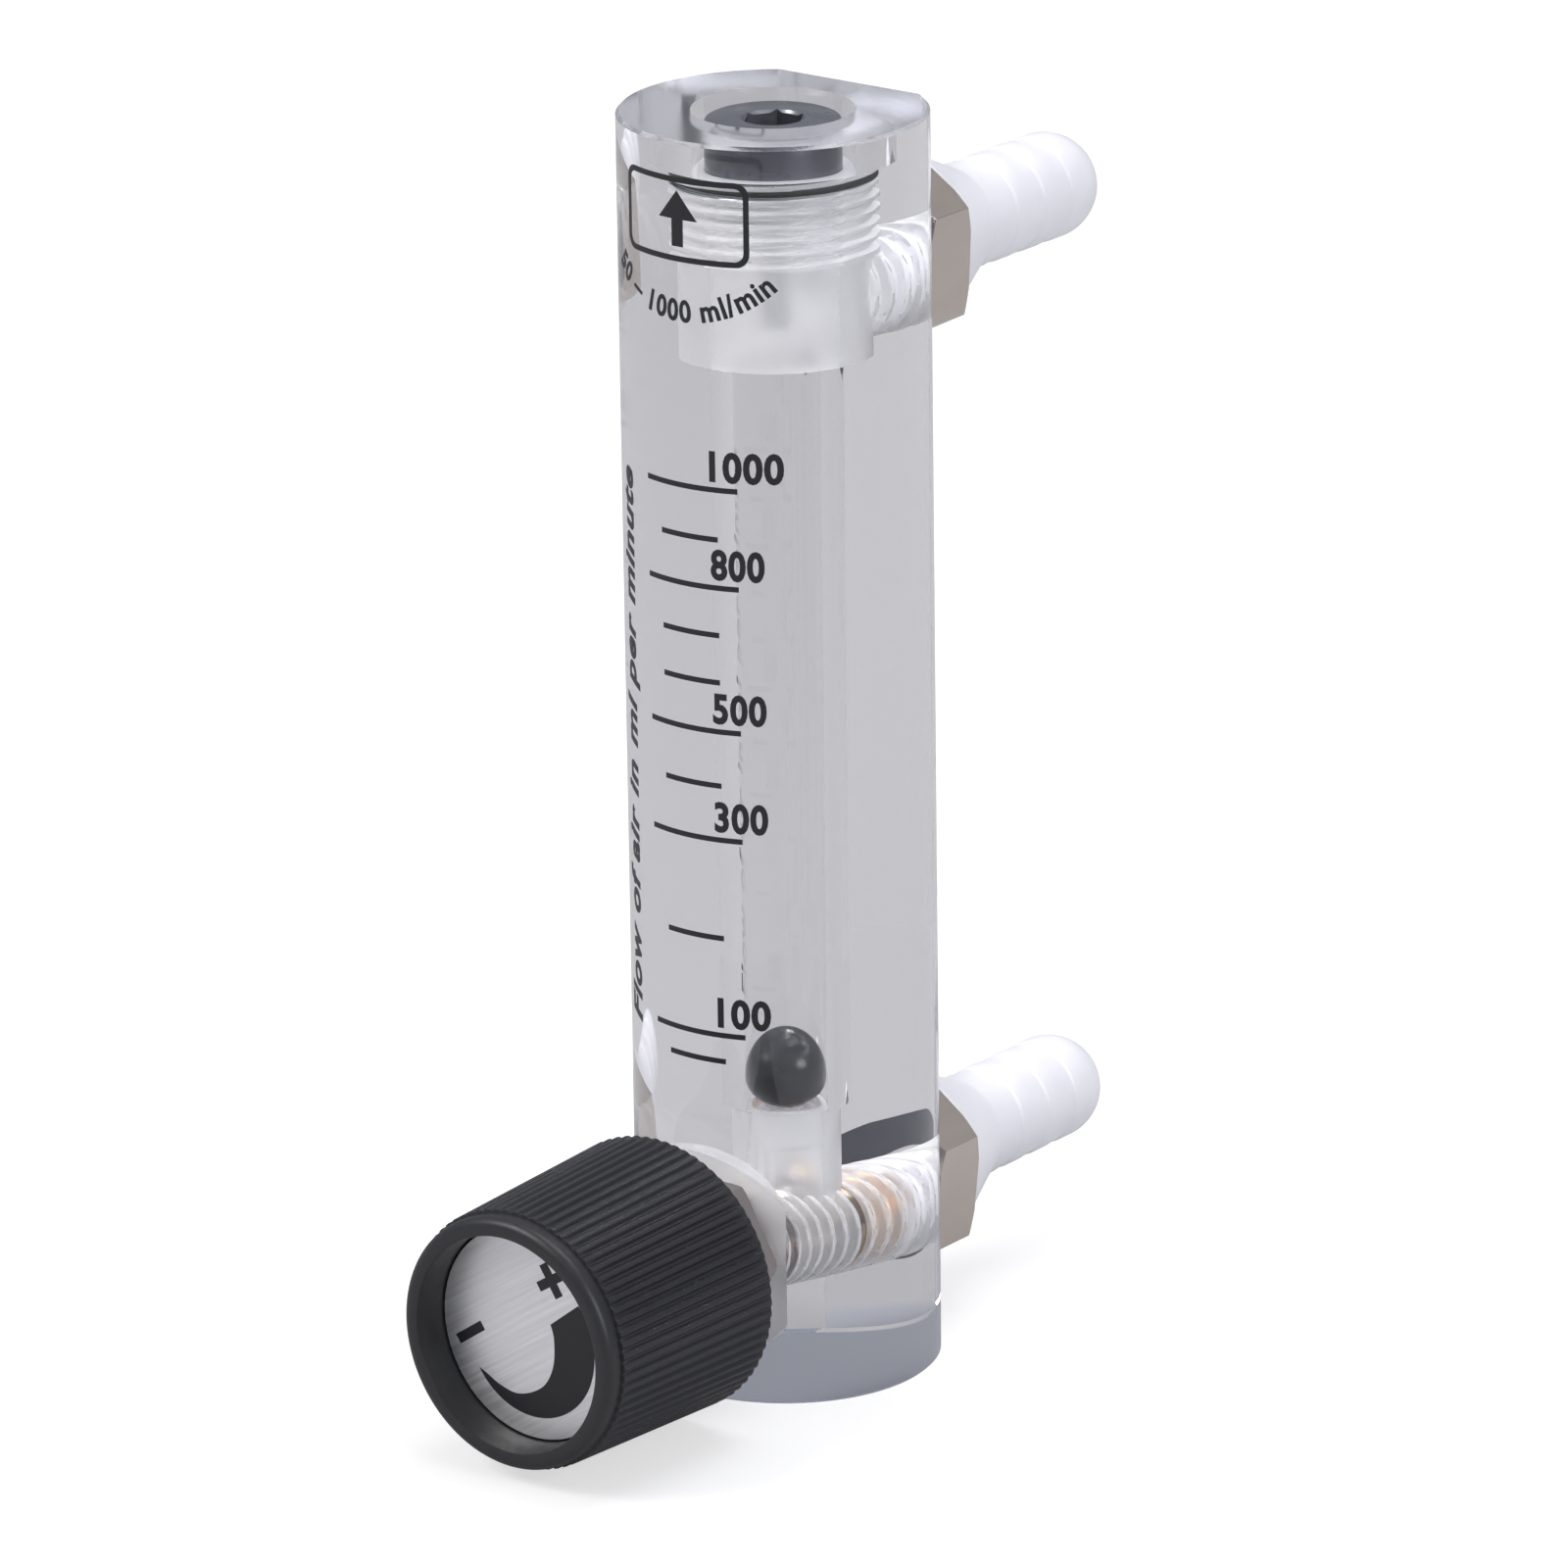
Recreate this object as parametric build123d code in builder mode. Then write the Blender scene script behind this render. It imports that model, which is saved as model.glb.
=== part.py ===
"""Variable-area gas flow meter with a needle valve.

A clear bar holds a tapered bore with a ball float. Gas enters the lower hose tail,
passes the needle, lifts the ball and leaves by the upper hose tail.
Millimetres. +Z is up, the knob faces -Y, the hose tails leave the flat back towards +Y.
The origin is on the bar's axis, at its foot.
"""
import math
import os
from build123d import *

os.makedirs("parts", exist_ok=True)

# Clear bar
body_diameter = 22.5
body_height = 95.0
back_flat = 9.3                 # bar axis to the flat back
back_edge_round = 0.7
end_edge_break = 0.25

# Ports in the flat back
lower_port_height = 10.9        # also the valve's axis
upper_port_drop = 13.0          # below the bar's top
port_thread = 8.0
upper_port_depth = 7.0
thread_play = 0.05              # radial, all threaded pairs

# Vertical bores
tube_foot_bore = 6.12           # tapered bore at the float's seat
tube_head_bore = 6.4            # tapered bore at the chamber
seat_rise = 9.8                 # seat ledge above the lower port's axis
seat_bore = 5.2
chamber_bore = 9.2
chamber_sump = 4.8              # chamber floor below the upper port's axis
plug_thread = 10.0
plug_tap_depth = 10.2
counterbore_diameter = 11.8
counterbore_depth = 3.6

# Float and its seat
float_diameter = 6.0
float_seat_length = 3.0
float_seat_hole = 3.2
press_gap = 0.02                # radial, pressed and sealed pairs
float_rest_gap = 0.05

# Top plug
plug_recess = 0.7
plug_length = 6.4
plug_hex = 4.0
plug_hex_depth = 2.2
stop_pin_diameter = 2.0
stop_pin_gap = 2.3              # pin's end above the chamber floor
plug_seal_section = 0.96
plug_seal_drop = 0.75           # seal's centre below the counterbore

# Hose fittings and lock nuts
port_engagement = 4.7           # fitting's thread inside the bar
nut_across_flats = 14.0
nut_thickness = 4.8
nut_corner_circle = 14.6
hex_bevel = 30.0                # degrees, corners of all hexagons
nut_turn = {"upper": 27.0, "lower": 24.0}   # degrees, a corner above the horizontal
port_seal_section = 1.16
flange_diameter = 13.8
flange_land = 0.5
flare_length = 7.0
tail_diameter = 8.0
tail_length = 22.6              # lock nut to the rounded end
tail_bore = 3.2
barb_depth = 0.22
barb_pitch = 3.4
barb_count = 3

# Needle valve
spot_face_diameter = 16.4
spot_face_depth = 2.25
bonnet_across_flats = 11.0
bonnet_corner_circle = 12.2
bonnet_flange = 3.0
bonnet_stand_off = 0.4
bonnet_seal_section = 1.0
bonnet_seal_recess = 0.65
bonnet_neck_diameter = 7.4
bonnet_neck_cover = 2.28        # neck in front of the stem's seal, valve wide open
bonnet_reach = 1.8              # bonnet's inner end behind the bar's axis
cross_port_diameter = 2.2
bonnet_cavity = 4.6
cavity_length = 4.8
seat_gap = 0.3                  # between parts that follow each other in the port
orifice_diameter = 1.6
seat_slot_width = 1.0
seat_slot_depth = 0.6

# Stem
stem_thread = 4.0
stem_thread_pitch = 0.5
stem_thread_length = 5.0
stem_barrel = 5.5
stem_seal_section = 0.92
stem_seal_setback = 1.1
needle_diameter = 2.4
needle_tip_diameter = 0.4
needle_length = 3.6
needle_clearance = 0.05
barrel_show = 1.6               # barrel in front of the bonnet's neck
shank_flat = 0.5
opening_turns = 4

# Knob
knob_rear_diameter = 20.8
knob_front_diameter = 19.5
knob_length = 17.9
knob_hub_recess = 0.8           # hub behind the knob's rear rim
rim_width = 1.4
rim_round = 0.7
ridge_count = 72
ridge_depth = 0.25
ridge_share = 0.55              # of the pitch, at the ridge's crest
recess_diameter = 16.3
recess_depth = 3.0
disc_thickness = 0.6
disc_play = 0.1
knob_wall = 1.9
knob_front_wall = 3.8
hub_diameter = 7.6
rib_count = 6
rib_thickness = 1.0
rib_setback = 2.0
clamp_web = 1.6
screw_head_diameter = 4.6
screw_head_height = 1.3
screw_thread = 2.5
screw_length = 6.0
screw_slot_width = 0.7
screw_slot_depth = 0.6
fit_play = 0.05                 # radial, sliding and running fits

# Places that follow from the sizes above
body_radius = body_diameter / 2
port_radius = port_thread / 2
upper_port_height = body_height - upper_port_drop
port_spacing = upper_port_height - lower_port_height
seat_ledge = lower_port_height + seat_rise
chamber_floor = upper_port_height - chamber_sump
tap_floor = body_height - plug_tap_depth
counterbore_floor = body_height - counterbore_depth
spot_face = -(body_radius - spot_face_depth)
float_radius = float_diameter / 2
float_height = (seat_ledge + float_rest_gap
                + math.sqrt(float_radius ** 2 - (float_seat_hole / 2) ** 2))
pin_end = chamber_floor + stop_pin_gap
float_travel = pin_end - float_rest_gap - float_radius - float_height

valve_axis = Axis((0, 0, lower_port_height), (0, 1, 0))


def across(y, height=lower_port_height):
    """A plane square to the ports, at y on the axis at this height, facing +Y."""
    return Plane(origin=(0, y, height), x_dir=(-1, 0, 0), z_dir=(0, 1, 0))


def side_plane(height):
    """The plane through a port's axis at this height: first +Y, then the radius upwards."""
    return Plane(origin=(0, 0, height), x_dir=(0, 1, 0), z_dir=(1, 0, 0))


def hex_corner_cut(front, back, across_flats, corner_circle):
    """Half section that takes the corners off a hexagon at both faces."""
    corner_radius = across_flats / math.sqrt(3)
    cone = max(corner_radius - corner_circle / 2, 0) * math.tan(math.radians(hex_bevel))
    return [
        (front, 0),
        (front, corner_circle / 2),
        (front + cone, corner_radius),
        (back - cone, corner_radius),
        (back, corner_circle / 2),
        (back, 0),
    ]


def save(part, name):
    """Label a finished piece and write it under its node's name."""
    part.label = name
    export_step(part, f"parts/{name}.step")


# Clear bar: round section with one flat, bored from the top and from the sides
with BuildPart() as meter_body:
    with BuildSketch() as bar_section:
        Circle(body_radius)
        with Locations((0, back_flat + body_radius)):
            Rectangle(2 * body_diameter, body_diameter, mode=Mode.SUBTRACT)
        fillet(bar_section.vertices().group_by(Axis.Y)[-1], back_edge_round)
    extrude(amount=body_height)
    chamfer(meter_body.faces().sort_by(Axis.Z)[-1].edges(), end_edge_break)
    chamfer(meter_body.faces().sort_by(Axis.Z)[0].edges(), end_edge_break)
    with BuildSketch(Plane.XZ):
        with BuildLine():
            Polyline(
                (0, lower_port_height),
                (seat_bore / 2, lower_port_height),
                (seat_bore / 2, seat_ledge),
                (tube_foot_bore / 2, seat_ledge),
                (tube_head_bore / 2, chamber_floor),
                (chamber_bore / 2, chamber_floor),
                (chamber_bore / 2, tap_floor),
                (plug_thread / 2, tap_floor),
                (plug_thread / 2, counterbore_floor),
                (counterbore_diameter / 2, counterbore_floor),
                (counterbore_diameter / 2, body_height),
                (0, body_height),
                close=True,
            )
        make_face()
    revolve(axis=Axis.Z, mode=Mode.SUBTRACT)
    with BuildSketch(across(spot_face)):
        Circle(spot_face_diameter / 2)
    extrude(amount=-spot_face_depth, mode=Mode.SUBTRACT)
    with BuildSketch(across(spot_face)):
        Circle(port_radius)
    extrude(amount=back_flat - spot_face, mode=Mode.SUBTRACT)
    with BuildSketch(across(back_flat, upper_port_height)):
        Circle(port_radius)
    extrude(amount=-upper_port_depth, mode=Mode.SUBTRACT)
save(meter_body.part, "meter_body")

# Float seat: bushing pressed into the lower bore, coned at its foot for the gas
seat_cone = 0.3
with BuildPart() as float_seat:
    with BuildSketch(Plane.XY.offset(seat_ledge - float_seat_length)):
        Circle(seat_bore / 2 - press_gap)
        Circle(float_seat_hole / 2, mode=Mode.SUBTRACT)
    extrude(amount=float_seat_length)
    foot_edges = float_seat.edges().filter_by(GeomType.CIRCLE).group_by(Axis.Z)[0]
    chamfer(foot_edges.sort_by(SortBy.RADIUS)[0], seat_cone)
save(float_seat.part, "float_seat")

# Float: ball that rests on the seat's edge
with BuildPart(Plane.XY.offset(float_height)) as float_ball:
    Sphere(float_radius)
save(float_ball.part, "float_ball")

# Top plug: hex socket, seal groove and thread, with a thin pin that stops the ball
plug_radius = plug_thread / 2 - thread_play
plug_top = body_height - plug_recess
plug_foot = plug_top - plug_length
plug_seal_height = counterbore_floor - plug_seal_drop
plug_groove_radius = plug_radius - plug_seal_section - press_gap
plug_groove_half = plug_seal_section / 2 + press_gap
plug_edge = 0.3
with BuildPart() as top_plug:
    with BuildSketch(Plane.XZ):
        with BuildLine():
            Polyline(
                (0, pin_end),
                (stop_pin_diameter / 2, pin_end),
                (stop_pin_diameter / 2, plug_foot),
                (plug_radius - plug_edge, plug_foot),
                (plug_radius, plug_foot + plug_edge),
                (plug_radius, plug_seal_height - plug_groove_half),
                (plug_groove_radius, plug_seal_height - plug_groove_half),
                (plug_groove_radius, plug_seal_height + plug_groove_half),
                (plug_radius, plug_seal_height + plug_groove_half),
                (plug_radius, plug_top - plug_edge),
                (plug_radius - plug_edge, plug_top),
                (0, plug_top),
                close=True,
            )
        make_face()
    revolve(axis=Axis.Z)
    with BuildSketch(Plane.XY.offset(plug_top)):
        RegularPolygon(plug_hex / 2, 6, major_radius=False)
    extrude(amount=-plug_hex_depth, mode=Mode.SUBTRACT)
save(top_plug.part, "top_plug")

with BuildPart(Plane.XY.offset(plug_seal_height)) as top_plug_oring:
    Torus(plug_groove_radius + plug_seal_section / 2 + press_gap, plug_seal_section / 2)
save(top_plug_oring.part, "top_plug_oring")

# Hose fittings: threaded shank, flange that backs the nut, flare and barbed tail
nut_back = back_flat + nut_thickness
flare_end = nut_back + flare_length
tail_end = nut_back + tail_length
shank_start = back_flat - port_engagement
tail_radius = tail_diameter / 2


def hose_fitting(height):
    """One moulded hose tail on the port axis at this height."""
    axis = Axis((0, 0, height), (0, 1, 0))
    plane = side_plane(height)
    dome_start = tail_end - tail_radius
    with BuildPart() as fitting:
        with BuildSketch(plane):
            with BuildLine():
                Polyline(
                    (dome_start, tail_radius),
                    (flare_end, tail_radius),
                    (nut_back + flange_land, flange_diameter / 2),
                    (nut_back, flange_diameter / 2),
                    (nut_back, port_radius - thread_play),
                    (shank_start, port_radius - thread_play),
                    (shank_start, 0),
                    (tail_end, 0),
                )
                CenterArc((dome_start, 0), tail_radius, 0, 90)
            make_face()
        revolve(axis=axis)
        for index in range(barb_count):
            crest = dome_start - (index + 0.5) * barb_pitch
            with BuildSketch(plane):
                with BuildLine():
                    Polyline(
                        (crest, tail_radius),
                        (crest, tail_radius - barb_depth),
                        (crest - 0.5 * barb_pitch, tail_radius),
                        close=True,
                    )
                make_face()
            revolve(axis=axis, mode=Mode.SUBTRACT)
        with BuildSketch(across(shank_start, height)):
            Circle(tail_bore / 2)
        extrude(amount=tail_end - shank_start, mode=Mode.SUBTRACT)
    return fitting.part


def lock_nut(height, turn):
    """Hex nut chamfered on both faces, with a seal recess towards the bar."""
    with BuildPart() as nut:
        with BuildSketch(across(back_flat, height)):
            RegularPolygon(nut_across_flats / 2, 6, major_radius=False, rotation=-turn)
            Circle(port_radius + thread_play, mode=Mode.SUBTRACT)
        extrude(amount=nut_thickness)
        with BuildSketch(side_plane(height)):
            with BuildLine():
                corner_cut = hex_corner_cut(
                    back_flat, nut_back, nut_across_flats, nut_corner_circle)
                Polyline(*corner_cut, close=True)
            make_face()
        revolve(axis=Axis((0, 0, height), (0, 1, 0)), mode=Mode.INTERSECT)
        with BuildSketch(across(back_flat, height)):
            Circle(port_radius + port_seal_section + 2 * fit_play)
        extrude(amount=port_seal_section + 2 * press_gap, mode=Mode.SUBTRACT)
    return nut.part


def port_seal(height):
    """Seal ring in the lock nut's recess, round the fitting's thread."""
    ring_centre = back_flat + port_seal_section / 2 + press_gap
    with BuildPart(across(ring_centre, height)) as seal:
        Torus(port_radius + fit_play + port_seal_section / 2, port_seal_section / 2)
    return seal.part


for side, height in (("upper", upper_port_height), ("lower", lower_port_height)):
    save(hose_fitting(height), f"{side}_fitting")
    save(lock_nut(height, nut_turn[side]), f"{side}_lock_nut")
    save(port_seal(height), f"{side}_port_oring")

# Places along the valve's axis: the bonnet's neck covers the stem's seal over its travel
seat_front = bonnet_reach + seat_gap
seat_back = shank_start - seat_gap
cavity_floor = bonnet_reach - cavity_length
barrel_floor = cavity_floor - stem_thread_length
shoulder = barrel_floor - seat_gap
stem_ring_centre = shoulder - stem_seal_setback - stem_seal_section / 2
stem_travel = opening_turns * stem_thread_pitch
neck_end = stem_ring_centre - stem_seal_section / 2 - stem_travel - bonnet_neck_cover
barrel_front = neck_end - barrel_show
flange_back = spot_face - bonnet_stand_off
flange_front = flange_back - bonnet_flange

# Valve seat: brass insert with the orifice, and a slot for the screwdriver that sets it
with BuildPart() as valve_seat:
    with BuildSketch(across(seat_front)):
        Circle(port_radius - thread_play)
        Circle(orifice_diameter / 2, mode=Mode.SUBTRACT)
    extrude(amount=seat_back - seat_front)
    with BuildSketch(across(seat_back)):
        Rectangle(port_thread, seat_slot_width)
    extrude(amount=-seat_slot_depth, mode=Mode.SUBTRACT)
save(valve_seat.part, "valve_seat")

# Bonnet: hex flange on the spot face, threaded sleeve with four cross ports for the gas
barrel_bore = stem_barrel / 2 + fit_play
with BuildPart() as valve_bonnet:
    with BuildSketch(across(flange_front)):
        RegularPolygon(bonnet_across_flats / 2, 6, major_radius=False)
    extrude(amount=bonnet_flange)
    with BuildSketch(side_plane(lower_port_height)):
        with BuildLine():
            corner_cut = hex_corner_cut(
                flange_front, flange_back, bonnet_across_flats, bonnet_corner_circle)
            Polyline(*corner_cut, close=True)
        make_face()
    revolve(axis=valve_axis, mode=Mode.INTERSECT)
    with BuildSketch(across(flange_back)):
        Circle(port_radius + bonnet_seal_section + 2 * fit_play)
    extrude(amount=-bonnet_seal_recess, mode=Mode.SUBTRACT)
    with BuildSketch(across(flange_front)):
        Circle(port_radius - thread_play)
    extrude(amount=bonnet_reach - flange_front)
    with BuildSketch(across(flange_front)):
        Circle(bonnet_neck_diameter / 2)
    extrude(amount=neck_end - flange_front)
    with BuildSketch(side_plane(lower_port_height)):
        with BuildLine():
            Polyline(
                (bonnet_reach, 0),
                (bonnet_reach, bonnet_cavity / 2),
                (cavity_floor, bonnet_cavity / 2),
                (cavity_floor, stem_thread / 2),
                (barrel_floor, stem_thread / 2),
                (barrel_floor, barrel_bore),
                (neck_end, barrel_bore),
                (neck_end, 0),
                close=True,
            )
        make_face()
    revolve(axis=valve_axis, mode=Mode.SUBTRACT)
    for cross_plane in (Plane.XY.offset(lower_port_height), Plane.YZ):
        port_centre = (0, 0) if cross_plane.z_dir.Z > 0 else (0, lower_port_height)
        with BuildSketch(cross_plane):
            with Locations(port_centre):
                Circle(cross_port_diameter / 2)
        extrude(amount=port_thread, both=True, mode=Mode.SUBTRACT)
save(valve_bonnet.part, "valve_bonnet")

bonnet_ring_centre = spot_face - bonnet_seal_section / 2 - press_gap
with BuildPart(across(bonnet_ring_centre)) as bonnet_oring:
    Torus(port_radius + fit_play + bonnet_seal_section / 2, bonnet_seal_section / 2)
save(bonnet_oring.part, "bonnet_oring")

# Stem: needle, fine thread, sealed barrel, and a flatted shank for the knob
needle_radius = needle_diameter / 2
tip_radius = needle_tip_diameter / 2
needle_slope = (needle_radius - tip_radius) / needle_length
needle_tip = seat_front + (orifice_diameter / 2 - needle_clearance - tip_radius) / needle_slope
ring_outer = barrel_bore - press_gap
ring_inner = ring_outer - stem_seal_section
stem_groove_half = stem_seal_section / 2 + press_gap
knob_rear = barrel_front + knob_hub_recess
knob_front = knob_rear - knob_length
disc_face = knob_front + recess_depth
recess_floor = disc_face + disc_thickness
pocket_floor = recess_floor + screw_head_height + seat_gap
web_rear = pocket_floor + clamp_web
shank_end = web_rear + seat_gap
screw_tip = pocket_floor + screw_length
with BuildPart() as valve_stem:
    with BuildSketch(side_plane(lower_port_height)):
        with BuildLine():
            Polyline(
                (needle_tip, 0),
                (needle_tip, tip_radius),
                (needle_tip - needle_length, needle_radius),
                (cavity_floor, needle_radius),
                (cavity_floor, stem_thread / 2 - thread_play),
                (shoulder, stem_thread / 2 - thread_play),
                (shoulder, stem_barrel / 2),
                (stem_ring_centre + stem_groove_half, stem_barrel / 2),
                (stem_ring_centre + stem_groove_half, ring_inner - press_gap),
                (stem_ring_centre - stem_groove_half, ring_inner - press_gap),
                (stem_ring_centre - stem_groove_half, stem_barrel / 2),
                (barrel_front, stem_barrel / 2),
                (barrel_front, stem_thread / 2),
                (shank_end, stem_thread / 2),
                (shank_end, 0),
                close=True,
            )
        make_face()
    revolve(axis=valve_axis)
    with BuildSketch(across(barrel_front)):
        with Locations((0, stem_thread / 2)):
            Rectangle(stem_barrel, 2 * shank_flat)
    extrude(amount=shank_end - barrel_front, mode=Mode.SUBTRACT)
    with BuildSketch(across(shank_end)):
        Circle(screw_thread / 2)
    extrude(amount=screw_tip + seat_gap - shank_end, mode=Mode.SUBTRACT)
save(valve_stem.part, "valve_stem")

with BuildPart(across(stem_ring_centre)) as stem_oring:
    Torus((ring_outer + ring_inner) / 2, stem_seal_section / 2)
save(stem_oring.part, "stem_oring")

# Knob: tapered shell with straight ridges, a front recess for the disc, hub and ribs behind
rim_back = knob_front + rim_width
cavity_front = recess_floor + knob_front_wall
cavity_radius = knob_rear_diameter / 2 - knob_wall


def ridge_outline(crest_radius):
    """Corner points of the ridged section: flat crests with sloping sides."""
    pitch = 360 / ridge_count
    crest_half = ridge_share * pitch / 2
    foot_half = (1 - ridge_share) * pitch / 4
    points = []
    for index in range(ridge_count):
        ridge = index * pitch
        valley = ridge + pitch / 2
        for radius, angle in (
            (crest_radius, ridge - crest_half),
            (crest_radius, ridge + crest_half),
            (crest_radius - ridge_depth, valley - foot_half),
            (crest_radius - ridge_depth, valley + foot_half),
        ):
            turn = math.radians(angle)
            points.append((radius * math.cos(turn), radius * math.sin(turn)))
    return points


with BuildPart() as knob:
    for y, crest_diameter in ((rim_back, knob_front_diameter), (knob_rear, knob_rear_diameter)):
        with BuildSketch(across(y)):
            with BuildLine():
                Polyline(*ridge_outline(crest_diameter / 2), close=True)
            make_face()
    loft(ruled=True)
    with BuildSketch(across(knob_front)):
        Circle(knob_front_diameter / 2 - ridge_depth)
    extrude(amount=rim_width)
    fillet(knob.faces().sort_by(Axis.Y)[0].edges(), rim_round)
    with BuildSketch(across(knob_front)):
        Circle(recess_diameter / 2)
    extrude(amount=recess_floor - knob_front, mode=Mode.SUBTRACT)
    with BuildSketch(across(knob_rear)):
        Circle(cavity_radius)
    extrude(amount=cavity_front - knob_rear, mode=Mode.SUBTRACT)
    with BuildSketch(across(cavity_front)):
        Circle(hub_diameter / 2)
    extrude(amount=barrel_front - cavity_front)
    with BuildSketch(across(cavity_front)):
        with PolarLocations((hub_diameter / 2 + cavity_radius) / 2, rib_count):
            Rectangle(cavity_radius - hub_diameter / 2 + knob_wall / 2, rib_thickness)
    extrude(amount=knob_rear - rib_setback - cavity_front)
    with BuildSketch(across(barrel_front)):
        Circle(stem_thread / 2 + fit_play)
        with Locations((0, stem_thread / 2 + fit_play)):
            Rectangle(stem_barrel, 2 * shank_flat, mode=Mode.SUBTRACT)
    extrude(amount=web_rear - barrel_front, mode=Mode.SUBTRACT)
    with BuildSketch(across(web_rear)):
        Circle(screw_thread / 2 + fit_play)
    extrude(amount=recess_floor - web_rear, mode=Mode.SUBTRACT)
    with BuildSketch(across(recess_floor)):
        Circle(screw_head_diameter / 2 + seat_gap)
    extrude(amount=pocket_floor - recess_floor, mode=Mode.SUBTRACT)
save(knob.part, "knob")

with BuildPart() as knob_disc:
    with BuildSketch(across(disc_face)):
        Circle(recess_diameter / 2 - disc_play)
    extrude(amount=disc_thickness)
save(knob_disc.part, "knob_disc")

# Knob screw: slotted head in the pocket under the disc
head_back = pocket_floor - screw_head_height
with BuildPart() as knob_screw:
    with BuildSketch(across(head_back)):
        Circle(screw_head_diameter / 2)
    extrude(amount=screw_head_height)
    with BuildSketch(across(pocket_floor)):
        Circle(screw_thread / 2 - fit_play)
    extrude(amount=screw_length)
    with BuildSketch(across(head_back)):
        Rectangle(screw_head_diameter, screw_slot_width)
    extrude(amount=screw_slot_depth, mode=Mode.SUBTRACT)
save(knob_screw.part, "knob_screw")

print(f"port spacing {port_spacing:.2f}, float travel {float_travel:.2f}, stem travel {stem_travel:.2f}")
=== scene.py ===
"""Gas flow meter: the looks of each piece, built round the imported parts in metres."""
import math

import bmesh
import bpy
from mathutils import Matrix, Vector


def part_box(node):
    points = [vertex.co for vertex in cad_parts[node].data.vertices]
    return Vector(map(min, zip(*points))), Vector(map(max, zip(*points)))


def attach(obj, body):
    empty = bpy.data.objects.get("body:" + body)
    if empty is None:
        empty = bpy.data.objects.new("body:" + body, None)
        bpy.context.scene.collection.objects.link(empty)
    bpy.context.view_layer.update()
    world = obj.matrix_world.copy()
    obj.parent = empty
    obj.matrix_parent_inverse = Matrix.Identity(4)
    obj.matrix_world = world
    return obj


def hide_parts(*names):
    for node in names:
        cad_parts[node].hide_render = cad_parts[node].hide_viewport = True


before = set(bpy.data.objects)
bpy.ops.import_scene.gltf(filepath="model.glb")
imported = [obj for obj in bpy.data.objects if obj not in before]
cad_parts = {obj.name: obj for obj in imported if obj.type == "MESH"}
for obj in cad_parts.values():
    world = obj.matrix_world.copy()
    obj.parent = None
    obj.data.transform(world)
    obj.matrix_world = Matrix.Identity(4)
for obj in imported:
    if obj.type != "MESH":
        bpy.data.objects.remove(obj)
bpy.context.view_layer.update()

mm = 0.001


# Camera: a long lens in front and to the right of the meter, looking down a little.
camera_azimuth = math.radians(37.64)
camera_elevation = math.radians(18.43)
camera_roll = math.radians(-0.783)
camera_distance = 748.42 * mm
camera_target = Vector((0.12, 0.09, 44.15)) * mm
camera_lens = 235.75
camera_sensor = 36.0

towards_camera = Vector((
    math.sin(camera_azimuth) * math.cos(camera_elevation),
    -math.cos(camera_azimuth) * math.cos(camera_elevation),
    math.sin(camera_elevation),
))
level_right = Vector((math.cos(camera_azimuth), math.sin(camera_azimuth), 0))
camera_turn = Matrix.Rotation(camera_roll, 3, towards_camera)
camera_right = camera_turn @ level_right
camera_up = towards_camera.cross(camera_right)
camera_data = bpy.data.cameras.new("camera")
camera_data.lens = camera_lens
camera_data.sensor_width = camera_sensor
camera = bpy.data.objects.new("camera", camera_data)
axes = Matrix((camera_right, camera_up, towards_camera)).transposed()
camera.matrix_world = Matrix.Translation(
    camera_target + towards_camera * camera_distance) @ axes.to_4x4()
bpy.context.scene.collection.objects.link(camera)
bpy.context.scene.camera = camera
bpy.context.scene.view_settings.view_transform = "Standard"


# Studio: a white table that keeps the soft shadow, a pale room that darkens towards the
# floor, and three soft lamps.
def new_material(name):
    """A material with an empty tree and its output node."""
    material = bpy.data.materials.new(name)
    material.use_nodes = True
    material.node_tree.nodes.clear()
    output = material.node_tree.nodes.new("ShaderNodeOutputMaterial")
    return material, material.node_tree, output


def node(tree, kind, **settings):
    """Add a node; settings are its own properties or, by name, its input values."""
    made = tree.nodes.new(kind)
    for key, value in settings.items():
        if hasattr(made, key):
            setattr(made, key, value)
        else:
            made.inputs[key.replace("_", " ")].default_value = value
    return made


table_colour = (0.51, 0.508, 0.513, 1)
table_lift = 0.60               # added for the camera alone, so that the lit table shows white
table_half = 3.0
table_drop = 0.05 * mm
table_mesh = bpy.data.meshes.new("table")
table_mesh.from_pydata(
    [(x * table_half, y * table_half, -table_drop)
     for x, y in ((-1, -1), (1, -1), (1, 1), (-1, 1))], [], [(0, 1, 2, 3)])
table = bpy.data.objects.new("table", table_mesh)
bpy.context.scene.collection.objects.link(table)
table_paint, tree, output = new_material("table_paint")
lit = node(tree, "ShaderNodeBsdfDiffuse", Color=table_colour)
lift = node(tree, "ShaderNodeEmission", Color=(1, 1, 1, 1))
lift_share = node(tree, "ShaderNodeMath", operation="MULTIPLY")
lift_share.inputs[1].default_value = table_lift
path = node(tree, "ShaderNodeLightPath")
tree.links.new(path.outputs["Is Camera Ray"], lift_share.inputs[0])
tree.links.new(lift_share.outputs[0], lift.inputs["Strength"])
both = node(tree, "ShaderNodeAddShader")
tree.links.new(lit.outputs[0], both.inputs[0])
tree.links.new(lift.outputs[0], both.inputs[1])
tree.links.new(both.outputs[0], output.inputs["Surface"])
table_mesh.materials.append(table_paint)

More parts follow.
